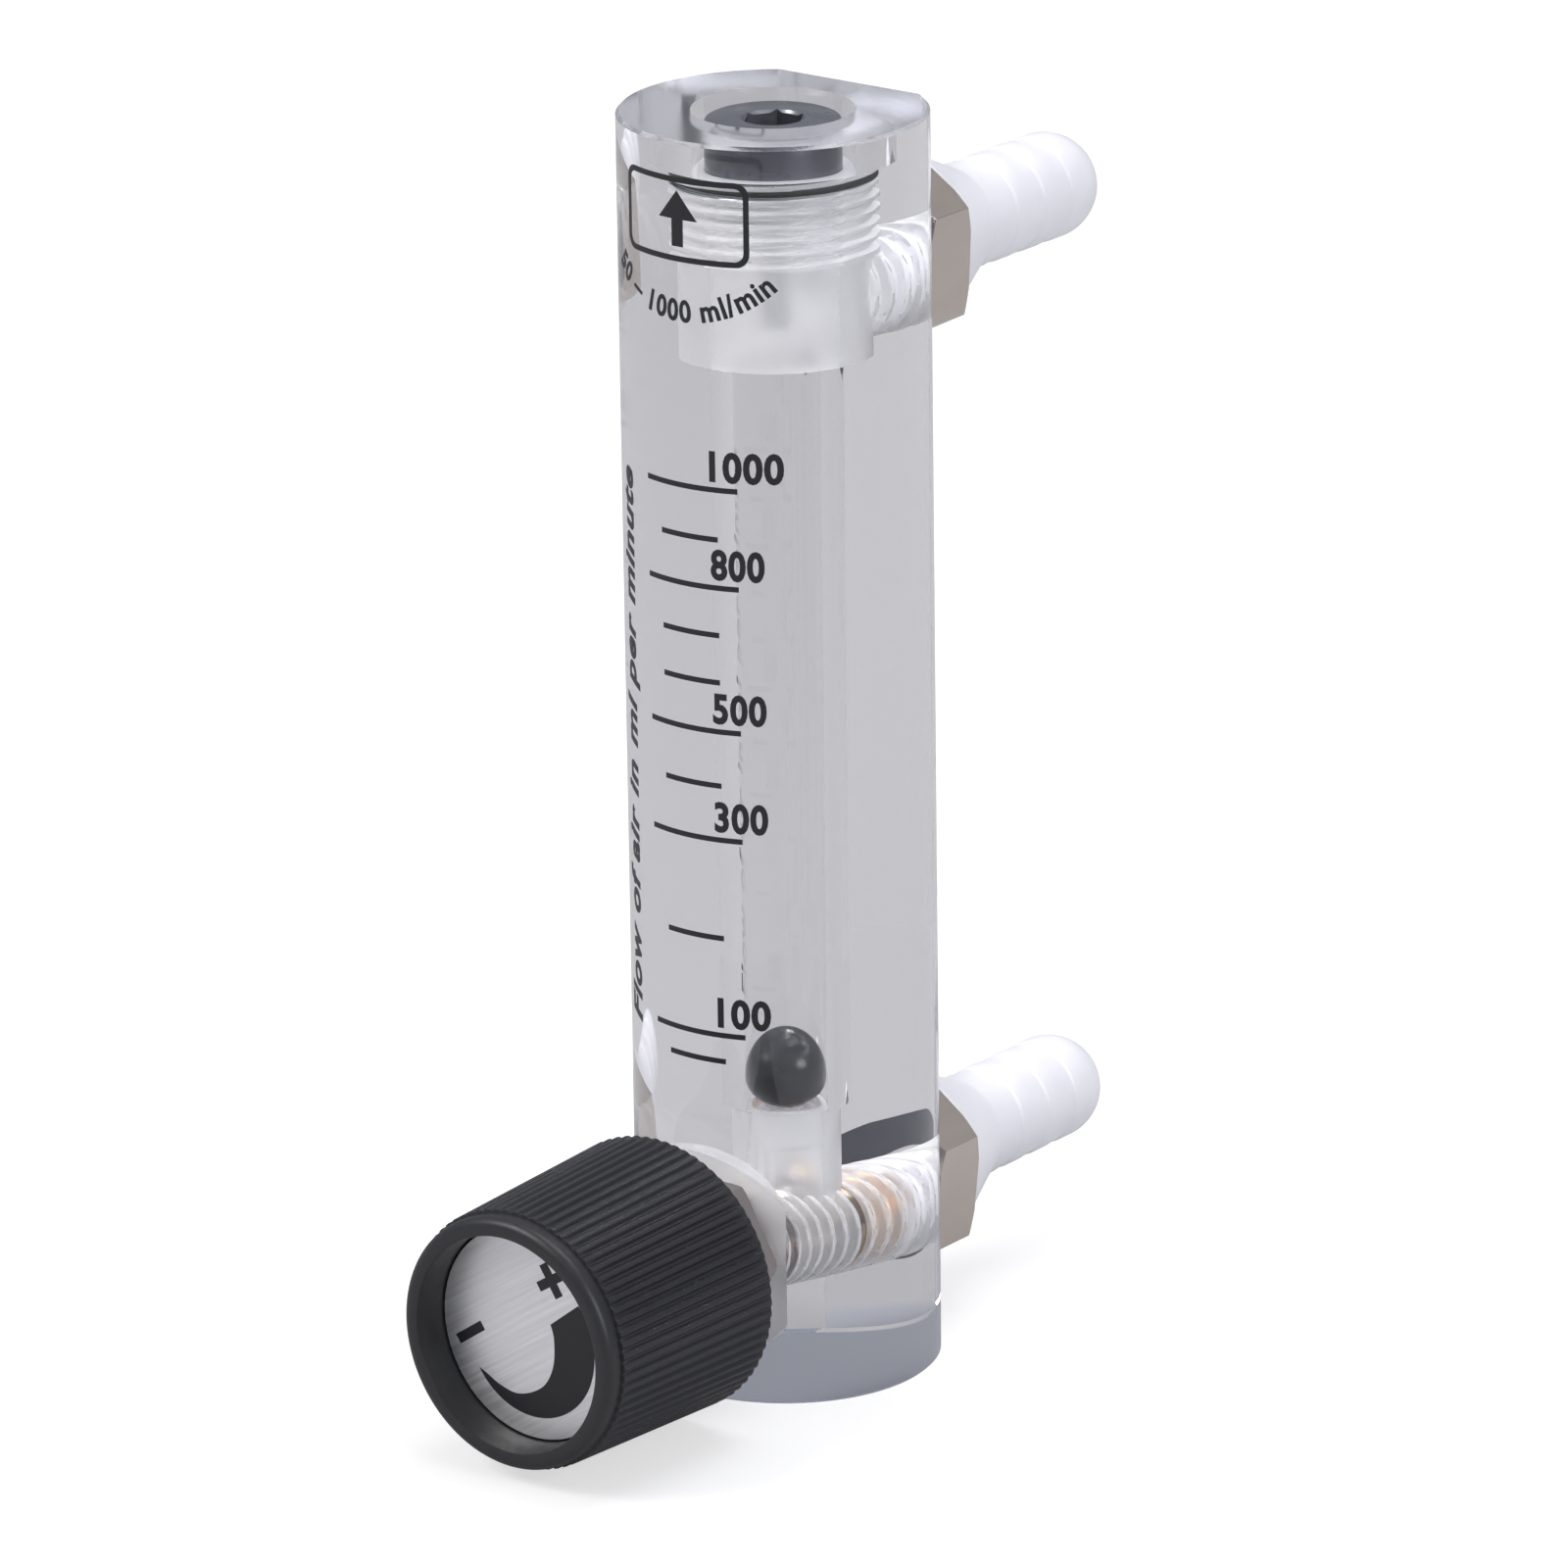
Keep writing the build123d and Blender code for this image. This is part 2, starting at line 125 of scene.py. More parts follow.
room_colour = (0.88, 0.88, 0.92, 1)
room_low = (0.42, 0.47, 0.58, 1)
room_fade = (0.05, 0.6)         # heights between which the low colour gives way
room_light = 0.50
world = bpy.data.worlds.new("room")
world.use_nodes = True
room = world.node_tree.nodes["Background"]
room.inputs["Strength"].default_value = room_light
where = node(world.node_tree, "ShaderNodeTexCoord")
split = node(world.node_tree, "ShaderNodeSeparateXYZ")
rise = node(world.node_tree, "ShaderNodeMapRange", interpolation_type="SMOOTHSTEP")
rise.inputs["From Min"].default_value = room_fade[0]
rise.inputs["From Max"].default_value = room_fade[1]
shade = node(world.node_tree, "ShaderNodeMix", data_type="RGBA")
shade.inputs["A"].default_value = room_low
shade.inputs["B"].default_value = room_colour
for source, target in (
    (where.outputs["Generated"], split.inputs[0]),
    (split.outputs["Z"], rise.inputs["Value"]),
    (rise.outputs[0], shade.inputs["Factor"]),
    (shade.outputs["Result"], room.inputs["Color"]),
):
    world.node_tree.links.new(source, target)
bpy.context.scene.world = world


def soft_lamp(name, place, size, power, colour):
    """A square soft box at this place in metres, aimed at the meter."""
    data = bpy.data.lights.new(name, "AREA")
    data.shape = "SQUARE"
    data.size = size
    data.energy = power
    data.color = colour
    lamp = bpy.data.objects.new(name, data)
    lamp.location = place
    aim = Vector(place) - camera_target
    lamp.rotation_euler = aim.to_track_quat("Z", "Y").to_euler()
    bpy.context.scene.collection.objects.link(lamp)


soft_lamp("key_lamp", (-0.55, -0.75, 0.85), 0.5, 7.4, (1.0, 0.99, 0.98))
soft_lamp("right_lamp", (0.95, -0.15, 0.45), 0.4, 3.4, (0.97, 0.98, 1.0))
soft_lamp("top_lamp", (0.1, 0.25, 1.05), 0.6, 4.4, (0.95, 0.96, 1.0))


# Clear bar: cast acrylic rod with one milled flat, polished outside and in the float's
# bore, left rough by the drill and the taps everywhere else. Sizes are in millimetres here
# and in all that follows, and a finished piece is scaled to metres once.
def extent(node_name, axis):
    """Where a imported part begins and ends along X, Y or Z, in millimetres."""
    return [round(corner["XYZ".index(axis)] / mm, 3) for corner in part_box(node_name)]


def middle(node_name, axis):
    """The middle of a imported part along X, Y or Z, in millimetres."""
    return round(sum(extent(node_name, axis)) / 2, 3)


bar_front, bar_flat = extent("meter_body", "Y")
bar_radius = -bar_front
bar_height = extent("meter_body", "Z")[1]
flat_edge = 0.7                 # rounding where the flat meets the rod
end_break = 0.25                # chamfer at both ends
valve_height = middle("valve_bonnet", "Z")     # the inlet's axis too
outlet_height = middle("upper_lock_nut", "Z")
spot_face = -9.0                # cut flat in front for the bonnet's seal
spot_radius = 8.2
port_radius = 4.0
port_pitch = 1.0
port_depth = 0.5
port_run_out = 0.5
outlet_floor = 2.3              # the outlet's drilling ends here, past the chamber's wall
lower_bore = 2.6
seat_ledge = extent("float_seat", "Z")[1]
tube_low = 3.06                 # radius of the float's bore at the ledge
tube_high = 3.2                 # and under the chamber
tube_wall = (tube_low - 0.06, tube_high + 0.05)
chamber_floor = 77.2
chamber_radius = 4.6
plug_bore = 5.0
plug_pitch = 1.0
plug_depth = 0.38
plug_thread = (84.8, 91.4)
plug_mouth = 5.9

# One group draws the fine marks that making leaves, as a mask, a roughness and a faint
# relief, in the piece's own coordinates and drawn out along its working.
marks_tree = bpy.data.node_groups.new("fine_marks", "ShaderNodeTree")
for name, kind, value in (
    ("Scale", "NodeSocketFloat", 900),
    ("Stretch", "NodeSocketVector", (1, 1, 1)),
    ("Turn", "NodeSocketVector", (0, 0, 0)),
    ("Smoothest", "NodeSocketFloat", 0.2),
    ("Roughest", "NodeSocketFloat", 0.3),
    ("Relief", "NodeSocketFloat", 0.1),
):
    socket = marks_tree.interface.new_socket(name, in_out="INPUT", socket_type=kind)
    socket.default_value = value
marks_tree.interface.new_socket("Mask", in_out="OUTPUT", socket_type="NodeSocketFloat")
marks_tree.interface.new_socket("Roughness", in_out="OUTPUT", socket_type="NodeSocketFloat")
marks_tree.interface.new_socket("Normal", in_out="OUTPUT", socket_type="NodeSocketVector")
marks_in = marks_tree.nodes.new("NodeGroupInput")
marks_out = marks_tree.nodes.new("NodeGroupOutput")
where = node(marks_tree, "ShaderNodeTexCoord")
draw_out = node(marks_tree, "ShaderNodeMapping", vector_type="TEXTURE")
noise = node(marks_tree, "ShaderNodeTexNoise", Detail=4.0)
contrast = node(marks_tree, "ShaderNodeMapRange", From_Min=0.25, From_Max=0.75)
roughness_range = node(marks_tree, "ShaderNodeMapRange")
relief = node(marks_tree, "ShaderNodeBump", Distance=0.02 * mm)
for source, target in (
    (where.outputs["Object"], draw_out.inputs["Vector"]),
    (marks_in.outputs["Turn"], draw_out.inputs["Rotation"]),
    (marks_in.outputs["Stretch"], draw_out.inputs["Scale"]),
    (draw_out.outputs[0], noise.inputs["Vector"]),
    (marks_in.outputs["Scale"], noise.inputs["Scale"]),
    (noise.outputs[0], contrast.inputs["Value"]),
    (contrast.outputs[0], roughness_range.inputs["Value"]),
    (marks_in.outputs["Smoothest"], roughness_range.inputs["To Min"]),
    (marks_in.outputs["Roughest"], roughness_range.inputs["To Max"]),
    (noise.outputs[0], relief.inputs["Height"]),
    (marks_in.outputs["Relief"], relief.inputs["Strength"]),
    (contrast.outputs[0], marks_out.inputs["Mask"]),
    (roughness_range.outputs[0], marks_out.inputs["Roughness"]),
    (relief.outputs[0], marks_out.inputs["Normal"]),
):
    marks_tree.links.new(source, target)


def marked(tree, shader, scale, stretch, turn, roughness, relief):
    """Give a shader the fine marks; roughness is a (smoothest, roughest) pair."""
    marks = node(tree, "ShaderNodeGroup", node_tree=marks_tree)
    marks.inputs["Scale"].default_value = scale
    marks.inputs["Stretch"].default_value = stretch
    marks.inputs["Turn"].default_value = (0, math.radians(turn), 0)
    marks.inputs["Smoothest"].default_value = roughness[0]
    marks.inputs["Roughest"].default_value = roughness[1]
    marks.inputs["Relief"].default_value = relief
    tree.links.new(marks.outputs["Roughness"], shader.inputs["Roughness"])
    tree.links.new(marks.outputs["Normal"], shader.inputs["Normal"])
    return marks.outputs["Mask"]


def sums(tree, operation, first, second=None):
    """One step of arithmetic in a tree, on sockets or plain numbers."""
    step = tree.nodes.new("ShaderNodeMath")
    step.operation = operation
    for place, value in enumerate((first, second)):
        if isinstance(value, (int, float)):
            step.inputs[place].default_value = value
        elif value is not None:
            tree.links.new(value, step.inputs[place])
    return step.outputs[0]


caught_after = 1.5              # a ray with more inner reflections than this is let out
foot_height = 30 * mm           # below it, with one less


def clear_finish(name, colour, roughness, scale, relief, ior=1.49, passes=1.0, stretch=(1, 1, 1)):
    """A clear plastic. Lamps shine through it, and rays caught inside are let out."""
    material, tree, output = new_material(name)
    shader = node(tree, "ShaderNodeBsdfPrincipled", Metallic=0.0, IOR=ior)
    shader.inputs["Transmission Weight"].default_value = passes
    shader.inputs["Base Color"].default_value = (*colour, 1)
    marked(tree, shader, scale, stretch, 0.0, roughness, relief)
    path = node(tree, "ShaderNodeLightPath")
    clear = node(tree, "ShaderNodeBsdfTransparent", Color=(*colour, 1))
    where = node(tree, "ShaderNodeTexCoord")
    split = node(tree, "ShaderNodeSeparateXYZ")
    tree.links.new(where.outputs["Object"], split.inputs[0])
    near_foot = sums(tree, "LESS_THAN", split.outputs["Z"], foot_height)
    limit = sums(tree, "SUBTRACT", caught_after, near_foot)
    caught = sums(tree, "GREATER_THAN", path.outputs["Glossy Depth"], limit)
    let_out = node(tree, "ShaderNodeMixShader")
    tree.links.new(caught, let_out.inputs[0])
    tree.links.new(shader.outputs[0], let_out.inputs[1])
    tree.links.new(clear.outputs[0], let_out.inputs[2])
    lamps = node(tree, "ShaderNodeMixShader")
    for source, target in (
        (path.outputs["Is Shadow Ray"], lamps.inputs[0]),
        (let_out.outputs[0], lamps.inputs[1]),
        (clear.outputs[0], lamps.inputs[2]),
        (lamps.outputs[0], output.inputs["Surface"]),
    ):
        tree.links.new(source, target)
    return material


acrylic = clear_finish(
    "acrylic", (0.947, 0.944, 0.953), (0.008, 0.016), scale=60, relief=0.01)
milled = clear_finish(
    "acrylic_milled", (0.92, 0.94, 0.98), (0.12, 0.24), scale=5000, relief=0.5, stretch=(30, 1, 1))
tapped = clear_finish(
    "acrylic_tapped", (0.94, 0.94, 0.96), (0.10, 0.22), scale=1500, relief=0.1, passes=0.9)
frosted = clear_finish(
    "acrylic_frosted", (0.97, 0.968, 0.975), (0.40, 0.60), scale=2500, relief=0.2, passes=0.55)

# The blank is drawn level by level from one outline, with its ends broken.
round_y = bar_flat - flat_edge
round_x = math.sqrt((bar_radius - flat_edge) ** 2 - round_y ** 2)
round_end = bar_radius * round_x / (bar_radius - flat_edge)
rod_steps = 232
edge_steps = 9


def bar_outline(grow):
    """Section of the bar, moved inwards by grow, as (x, y) points."""
    radius = bar_radius - grow
    start = math.atan2(round_y, round_x)
    points = []
    for i in range(rod_steps + 1):
        turn = start - (math.tau - (math.pi - 2 * start)) * i / rod_steps
        points.append((radius * math.cos(turn), radius * math.sin(turn)))
    for side in (-1, 1):
        corner = []
        for i in range(1, edge_steps):
            turn = start + (math.pi / 2 - start) * i / edge_steps
            corner.append((
                side * (round_x + (flat_edge - grow) * math.cos(turn)),
                round_y + (flat_edge - grow) * math.sin(turn)))
        corner.append((side * round_x, bar_flat - grow))
        points += corner if side < 0 else corner[::-1]
    return points


shape = bmesh.new()
rows = []
for height, grow in (
    (0, end_break), (end_break, 0), (bar_height - end_break, 0), (bar_height, end_break),
):
    rows.append([shape.verts.new((x, y, height)) for x, y in bar_outline(grow)])
for low, high in zip(rows, rows[1:]):
    for i in range(len(low)):
        j = (i + 1) % len(low)
        shape.faces.new((low[i], low[j], high[j], high[i]))
shape.faces.new(rows[0])
shape.faces.new(rows[-1])
bmesh.ops.recalc_face_normals(shape, faces=shape.faces)
bar_mesh = bpy.data.meshes.new("clear_bar")
shape.to_mesh(bar_mesh)
shape.free()
bar_mesh.materials.append(acrylic)
bar_mesh.materials.append(milled)
for face in bar_mesh.polygons:
    if abs(face.normal.z) > 0.3:
        face.material_index = 1


def turned(name, profile, segments=128):
    """Turn an outline of (radius, height) points about Z; radius 0 closes at a pole."""
    shape = bmesh.new()
    rows = []
    for radius, height in profile:
        if radius < 1e-6:
            rows.append([shape.verts.new((0, 0, height))])
        else:
            rows.append([
                shape.verts.new((
                    radius * math.cos(math.tau * i / segments),
                    radius * math.sin(math.tau * i / segments), height))
                for i in range(segments)])
    closed = len(rows[0]) > 1
    pairs = list(zip(rows, rows[1:])) + ([(rows[-1], rows[0])] if closed else [])
    for low, high in pairs:
        for i in range(segments):
            j = (i + 1) % segments
            if len(low) == 1 and len(high) == 1:
                continue
            if len(low) == 1:
                shape.faces.new((low[0], high[j], high[i]))
            elif len(high) == 1:
                shape.faces.new((low[i], low[j], high[0]))
            else:
                shape.faces.new((low[i], low[j], high[j], high[i]))
    bmesh.ops.recalc_face_normals(shape, faces=shape.faces)
    mesh = bpy.data.meshes.new(name)
    shape.to_mesh(mesh)
    shape.free()
    return mesh


def rows_between(radius, start, end, step):
    """Profile points of one radius from start to end, both included."""
    count = max(int(round(abs(end - start) / step)), 1)
    return [(radius, start + (end - start) * i / count) for i in range(count + 1)]


def new_tree(name, inputs):
    """A geometry tree with these float inputs beside its geometry and material."""
    made = bpy.data.node_groups.new(name, "GeometryNodeTree")
    made.interface.new_socket("Geometry", in_out="INPUT", socket_type="NodeSocketGeometry")
    made.interface.new_socket("Geometry", in_out="OUTPUT", socket_type="NodeSocketGeometry")
    for socket_name in inputs:
        made.interface.new_socket(socket_name, in_out="INPUT", socket_type="NodeSocketFloat")
    made.interface.new_socket("Material", in_out="INPUT", socket_type="NodeSocketMaterial")
    return made, made.nodes.new("NodeGroupInput"), made.nodes.new("NodeGroupOutput")


def ramp(tree, value, low, high):
    """0 below low and 1 above high, with a smooth rise between."""
    rise = tree.nodes.new("ShaderNodeMapRange")
    rise.interpolation_type = "SMOOTHSTEP"
    tree.links.new(value, rise.inputs["Value"])
    for name, limit in (("From Min", low), ("From Max", high)):
        if isinstance(limit, (int, float)):
            rise.inputs[name].default_value = limit
        else:
            tree.links.new(limit, rise.inputs[name])
    return rise.outputs["Result"]


def finish_tree(tree, last, group_in, group_out):
    """End a tree in Realize Instances and Set Material."""
    real = tree.nodes.new("GeometryNodeRealizeInstances")
    paint = tree.nodes.new("GeometryNodeSetMaterial")
    for source, target in (
        (last, real.inputs[0]),
        (real.outputs[0], paint.inputs["Geometry"]),
        (group_in.outputs["Material"], paint.inputs["Material"]),
        (paint.outputs[0], group_out.inputs["Geometry"]),
    ):
        tree.links.new(source, target)


def link_new(name, mesh):
    """Link a new object that holds this mesh and return it."""
    made = bpy.data.objects.new(name, mesh)
    bpy.context.scene.collection.objects.link(made)
    return made


def run_tree(source, tree, material, **values):
    """The plain mesh that a tree makes of a mesh, with its inputs set by identifier."""
    carrier = link_new("carrier", source)
    modifier = carrier.modifiers.new("tree", "NODES")
    modifier.node_group = tree
    for item in tree.interface.items_tree:
        if item.in_out == "INPUT" and item.name in values:
            modifier[item.identifier] = float(values[item.name])
        elif item.in_out == "INPUT" and item.name == "Material":
            modifier[item.identifier] = material
    evaluated = carrier.evaluated_get(bpy.context.evaluated_depsgraph_get())
    mesh = bpy.data.meshes.new_from_object(evaluated)
    carrier.modifiers.remove(modifier)
    bpy.data.objects.remove(carrier)
    return mesh


# One tree cuts every screw thread and the knob's ridges: it pulls in the plain outer wall
# between crests that wind once per pitch, in as many starts as asked for.
groove_tree, groove_in, groove_out = new_tree(
    "grooves", ("Wall", "Depth", "Starts", "Pitch", "Start", "End", "Run_out", "Fullness"))
place = groove_tree.nodes.new("GeometryNodeInputPosition")
split = groove_tree.nodes.new("ShaderNodeSeparateXYZ")
groove_tree.links.new(place.outputs[0], split.inputs[0])
px, py, pz = split.outputs
radius = sums(groove_tree, "SQRT", sums(
    groove_tree, "ADD", sums(groove_tree, "MULTIPLY", px, px), sums(groove_tree, "MULTIPLY", py, py)))
turn = sums(groove_tree, "ARCTAN2", py, px)
wind = sums(groove_tree, "SUBTRACT", sums(
    groove_tree, "MULTIPLY", sums(groove_tree, "DIVIDE", pz, groove_in.outputs["Pitch"]), math.tau),
    sums(groove_tree, "MULTIPLY", turn, groove_in.outputs["Starts"]))
crest = ramp(groove_tree, sums(
    groove_tree, "ADD", sums(groove_tree, "COSINE", wind), groove_in.outputs["Fullness"]), -0.75, 0.75)
run_start = sums(groove_tree, "ADD", groove_in.outputs["Start"], groove_in.outputs["Run_out"])
run_end = sums(groove_tree, "SUBTRACT", groove_in.outputs["End"], groove_in.outputs["Run_out"])
inside = sums(
    groove_tree, "MULTIPLY",
    ramp(groove_tree, pz, groove_in.outputs["Start"], run_start),
    sums(groove_tree, "SUBTRACT", 1.0, ramp(groove_tree, pz, run_end, groove_in.outputs["End"])))
on_wall = sums(groove_tree, "GREATER_THAN", radius, sums(
    groove_tree, "SUBTRACT", groove_in.outputs["Wall"], 0.01))
drop = sums(groove_tree, "MULTIPLY", sums(groove_tree, "MULTIPLY", inside, on_wall), sums(
    groove_tree, "MULTIPLY", groove_in.outputs["Depth"], sums(groove_tree, "SUBTRACT", 1.0, crest)))
share = sums(groove_tree, "SUBTRACT", 1.0, sums(
    groove_tree, "DIVIDE", drop, sums(groove_tree, "MAXIMUM", radius, 0.001)))
join = groove_tree.nodes.new("ShaderNodeCombineXYZ")
groove_tree.links.new(sums(groove_tree, "MULTIPLY", px, share), join.inputs[0])
groove_tree.links.new(sums(groove_tree, "MULTIPLY", py, share), join.inputs[1])
groove_tree.links.new(pz, join.inputs[2])
move = groove_tree.nodes.new("GeometryNodeSetPosition")
groove_tree.links.new(groove_in.outputs["Geometry"], move.inputs["Geometry"])
groove_tree.links.new(join.outputs[0], move.inputs["Position"])
finish_tree(groove_tree, move.outputs[0], groove_in, groove_out)


def grooved(name, profile, material, segments=96, **values):
    """A turned shape with one groove pattern cut by the tree above."""
    return run_tree(turned(name, profile, segments), groove_tree, material, **values)


def thread(radius, depth, pitch, start, end, run_out):
    """The groove tree's values for a single-start screw thread."""
    return {"Wall": radius, "Depth": depth, "Starts": 1, "Pitch": pitch, "Start": start, "End": end,
            "Run_out": run_out, "Fullness": 0}


def port_thread(start, end, radius=port_radius):
    """The thread of the ports and of what is screwed into them."""
    return thread(radius, port_depth, port_pitch, start, end, port_run_out)


def to_port(mesh, height):
    """Lay a shape drawn along Z onto the port axis at this height; its Z becomes +Y."""
    mesh.transform(Matrix.Translation((0, 0, height)) @ Matrix.Rotation(-math.pi / 2, 4, "X"))
    return mesh


def cut(mesh, cutter, operation="DIFFERENCE"):
    """The mesh with a cutter taken away, or joined on; cut faces keep the cutter's material."""
    carrier = link_new("carrier", mesh)
    tool = link_new("tool", cutter)
    modifier = carrier.modifiers.new("cut", "BOOLEAN")
    modifier.operation = operation
    modifier.solver = "EXACT"
    modifier.material_mode = "TRANSFER"
    modifier.object = tool
    evaluated = carrier.evaluated_get(bpy.context.evaluated_depsgraph_get())
    made = bpy.data.meshes.new_from_object(evaluated)
    bpy.data.objects.remove(carrier)
    bpy.data.objects.remove(tool)
    return made


# Drill and tap are closed shapes cut out of the blank; past its ends they run on.
past_top = bar_height + 2
past_front = -13.0
past_back = 11.0
bores = grooved("bores", (
    [(0, valve_height), (lower_bore, valve_height), (lower_bore, seat_ledge), (tube_low, seat_ledge),
     (tube_high, chamber_floor), (chamber_radius, chamber_floor), (chamber_radius, plug_thread[0])]
    + rows_between(plug_bore, *plug_thread, 0.1)
    + [(plug_mouth, plug_thread[1]), (plug_mouth, past_top), (0, past_top)]),
    frosted, **thread(plug_bore, plug_depth, plug_pitch, *plug_thread, run_out=0.4))
bores.materials.append(acrylic)
for face in bores.polygons:
    reach = math.hypot(*face.center[:2])
    in_tube = seat_ledge + 0.1 < face.center.z < chamber_floor - 0.1
    in_mouth = face.center.z > plug_thread[1] + 0.1
    if (in_tube and tube_wall[0] < reach < tube_wall[1]) or (in_mouth and reach > plug_mouth - 0.1):
        face.material_index = 1
port_wall = rows_between(port_radius, spot_face, bar_flat, port_pitch / 10)
valve_port = to_port(grooved("valve_port", (
    [(0, past_front), (spot_radius, past_front), (spot_radius, spot_face)]
    + port_wall + [(port_radius, past_back), (0, past_back)]),
    frosted, **port_thread(spot_face, bar_flat)), valve_height)
valve_port.materials.append(tapped)
for face in valve_port.polygons:
    if spot_face + 0.02 < face.center.y < -port_radius:
        face.material_index = 1
port_wall = rows_between(port_radius, outlet_floor, bar_flat, port_pitch / 10)
outlet_port = to_port(grooved("outlet_port", (
    [(0, outlet_floor)] + port_wall + [(port_radius, past_back), (0, past_back)]),
    frosted, **port_thread(outlet_floor, bar_flat)), outlet_height)
for cutter in (bores, valve_port, outlet_port):
    bar_mesh = cut(bar_mesh, cutter)


def piece(name, mesh, body, replaced, material=None, smooth=30, bevel=0.0):
    """Scale a finished shape to metres and hand it over as one piece of the meter."""
    if material is not None:
        mesh.materials.clear()
        mesh.materials.append(material)
    mesh.transform(Matrix.Scale(mm, 4))
    mesh.shade_smooth()
    mesh.set_sharp_from_angle(angle=math.radians(smooth))
    made = link_new(name, mesh)
    mesh.name = name
    if bevel:
        edge = made.modifiers.new("edge", "BEVEL")
        edge.width = bevel * mm
        edge.segments = 2
        edge.limit_method = "ANGLE"
        edge.angle_limit = math.radians(35)
        edge.harden_normals = True
    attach(made, body)
    if replaced:
        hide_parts(replaced)
    return made


clear_bar = piece("clear_bar", bar_mesh, "meter", "meter_body")

# The polished walls get their true normals, so that the view through them isn't faceted.
true_normals = []
bar_mesh = clear_bar.data
for face in bar_mesh.polygons:
    cx, cy, cz = face.center / mm
    upright = abs(face.normal.z) < 0.1
    reach = math.hypot(cx, cy)
    for vertex_index in face.vertices:
        x, y = bar_mesh.vertices[vertex_index].co.xy / mm
        if upright and cy > bar_flat - 0.002:
            normal = (0, 1, 0)
        elif upright and cy > round_y and round_x < abs(cx) < round_end:
            side = Vector((x - math.copysign(round_x, cx), y - round_y, 0))
            normal = tuple(side.normalized())
        elif upright and reach > bar_radius - 0.01:
            normal = (x / math.hypot(x, y), y / math.hypot(x, y), 0)
        elif upright and tube_wall[0] < reach < tube_wall[1] and seat_ledge < cz < chamber_floor:
            normal = (-x / math.hypot(x, y), -y / math.hypot(x, y), 0)
        else:
            normal = (0, 0, 0)
        true_normals.append(normal)
bar_mesh.normals_split_custom_set(true_normals)


# Float: a ball ground and polished from black glass. It rides on the gas, loose in the
# tapered bore, and lies on its seat when the valve is shut.
def solid_finish(name, colour, roughness, metallic=0.0, scale=900, stretch=(1, 1, 1), relief=0.1,
                 turn=0.0, tone=0.08, under_skin=0.0):
    """An opaque finish whose tone and roughness vary with its marks."""
    material, tree, output = new_material(name)
    shader = node(tree, "ShaderNodeBsdfPrincipled", Metallic=metallic)
    mask = marked(tree, shader, scale, stretch, turn, roughness, relief)
    paint = node(tree, "ShaderNodeMix", data_type="RGBA")
    paint.inputs["A"].default_value = (*(c * (1 - tone) for c in colour), 1)
    paint.inputs["B"].default_value = (*(min(c * (1 + tone), 1) for c in colour), 1)
    tree.links.new(mask, paint.inputs["Factor"])
    tree.links.new(paint.outputs["Result"], shader.inputs["Base Color"])
    shader.inputs["Subsurface Weight"].default_value = under_skin
    shader.inputs["Subsurface Radius"].default_value = (1, 1, 1)
    shader.inputs["Subsurface Scale"].default_value = 0.8 * mm
    tree.links.new(shader.outputs[0], output.inputs["Surface"])
    return material


ball_glass = solid_finish("ball_glass", (0.011, 0.013, 0.018), (0.20, 0.26), scale=400, relief=0.01)
ball_foot, ball_head = extent("float_ball", "Z")
ball_radius = (ball_head - ball_foot) / 2
ball_rest = middle("float_ball", "Z")
ball_steps = 48
ball = turned("ball", [
    (ball_radius * math.sin(math.pi * i / ball_steps),
     ball_rest - ball_radius * math.cos(math.pi * i / ball_steps))
    for i in range(ball_steps + 1)], 96)
piece("float_glass_ball", ball, "float", "float_ball", ball_glass, smooth=60)


# Seat bushing: a short sleeve turned from clear plastic and pressed into the lower bore
# from above, level with the ledge. The ball closes its mouth.
bushing_clear = clear_finish(
    "bushing_clear", (0.93, 0.93, 0.95), (0.2, 0.3), scale=800, relief=0.1, ior=1.58, passes=0.8)
bushing_radius = extent("float_seat", "X")[1]
bushing_bore = 1.6
bushing_foot = extent("float_seat", "Z")[0]
bushing = turned("bushing", [
    (bushing_bore + 0.3, bushing_foot), (bushing_radius - 0.1, bushing_foot),
    (bushing_radius, bushing_foot + 0.1), (bushing_radius, seat_ledge - 0.05),
    (bushing_radius - 0.05, seat_ledge), (bushing_bore + 0.05, seat_ledge),
    (bushing_bore, seat_ledge - 0.04), (bushing_bore, bushing_foot + 0.3)], 96)
piece("seat_bushing", bushing, "meter", "float_seat", bushing_clear)


# Top plug: turned from stainless bar and screwed in with a hex key. A thin pin below it
# stops the ball, and its thread and seal groove show through the bar.
def hex_prism(across_flats, start, end):
    """A closed hexagonal bar with a corner on +X."""
    shape = bmesh.new()
    corner = across_flats / math.sqrt(3)
    low, high = ([
        shape.verts.new((
            corner * math.cos(i * math.tau / 6), corner * math.sin(i * math.tau / 6), height))
        for i in range(6)] for height in (start, end))
    shape.faces.new(low[::-1])
    shape.faces.new(high)
    for i in range(6):
        j = (i + 1) % 6
        shape.faces.new((low[i], low[j], high[j], high[i]))
    mesh = bpy.data.meshes.new("hex_prism")
    shape.to_mesh(mesh)
    shape.free()
    return mesh


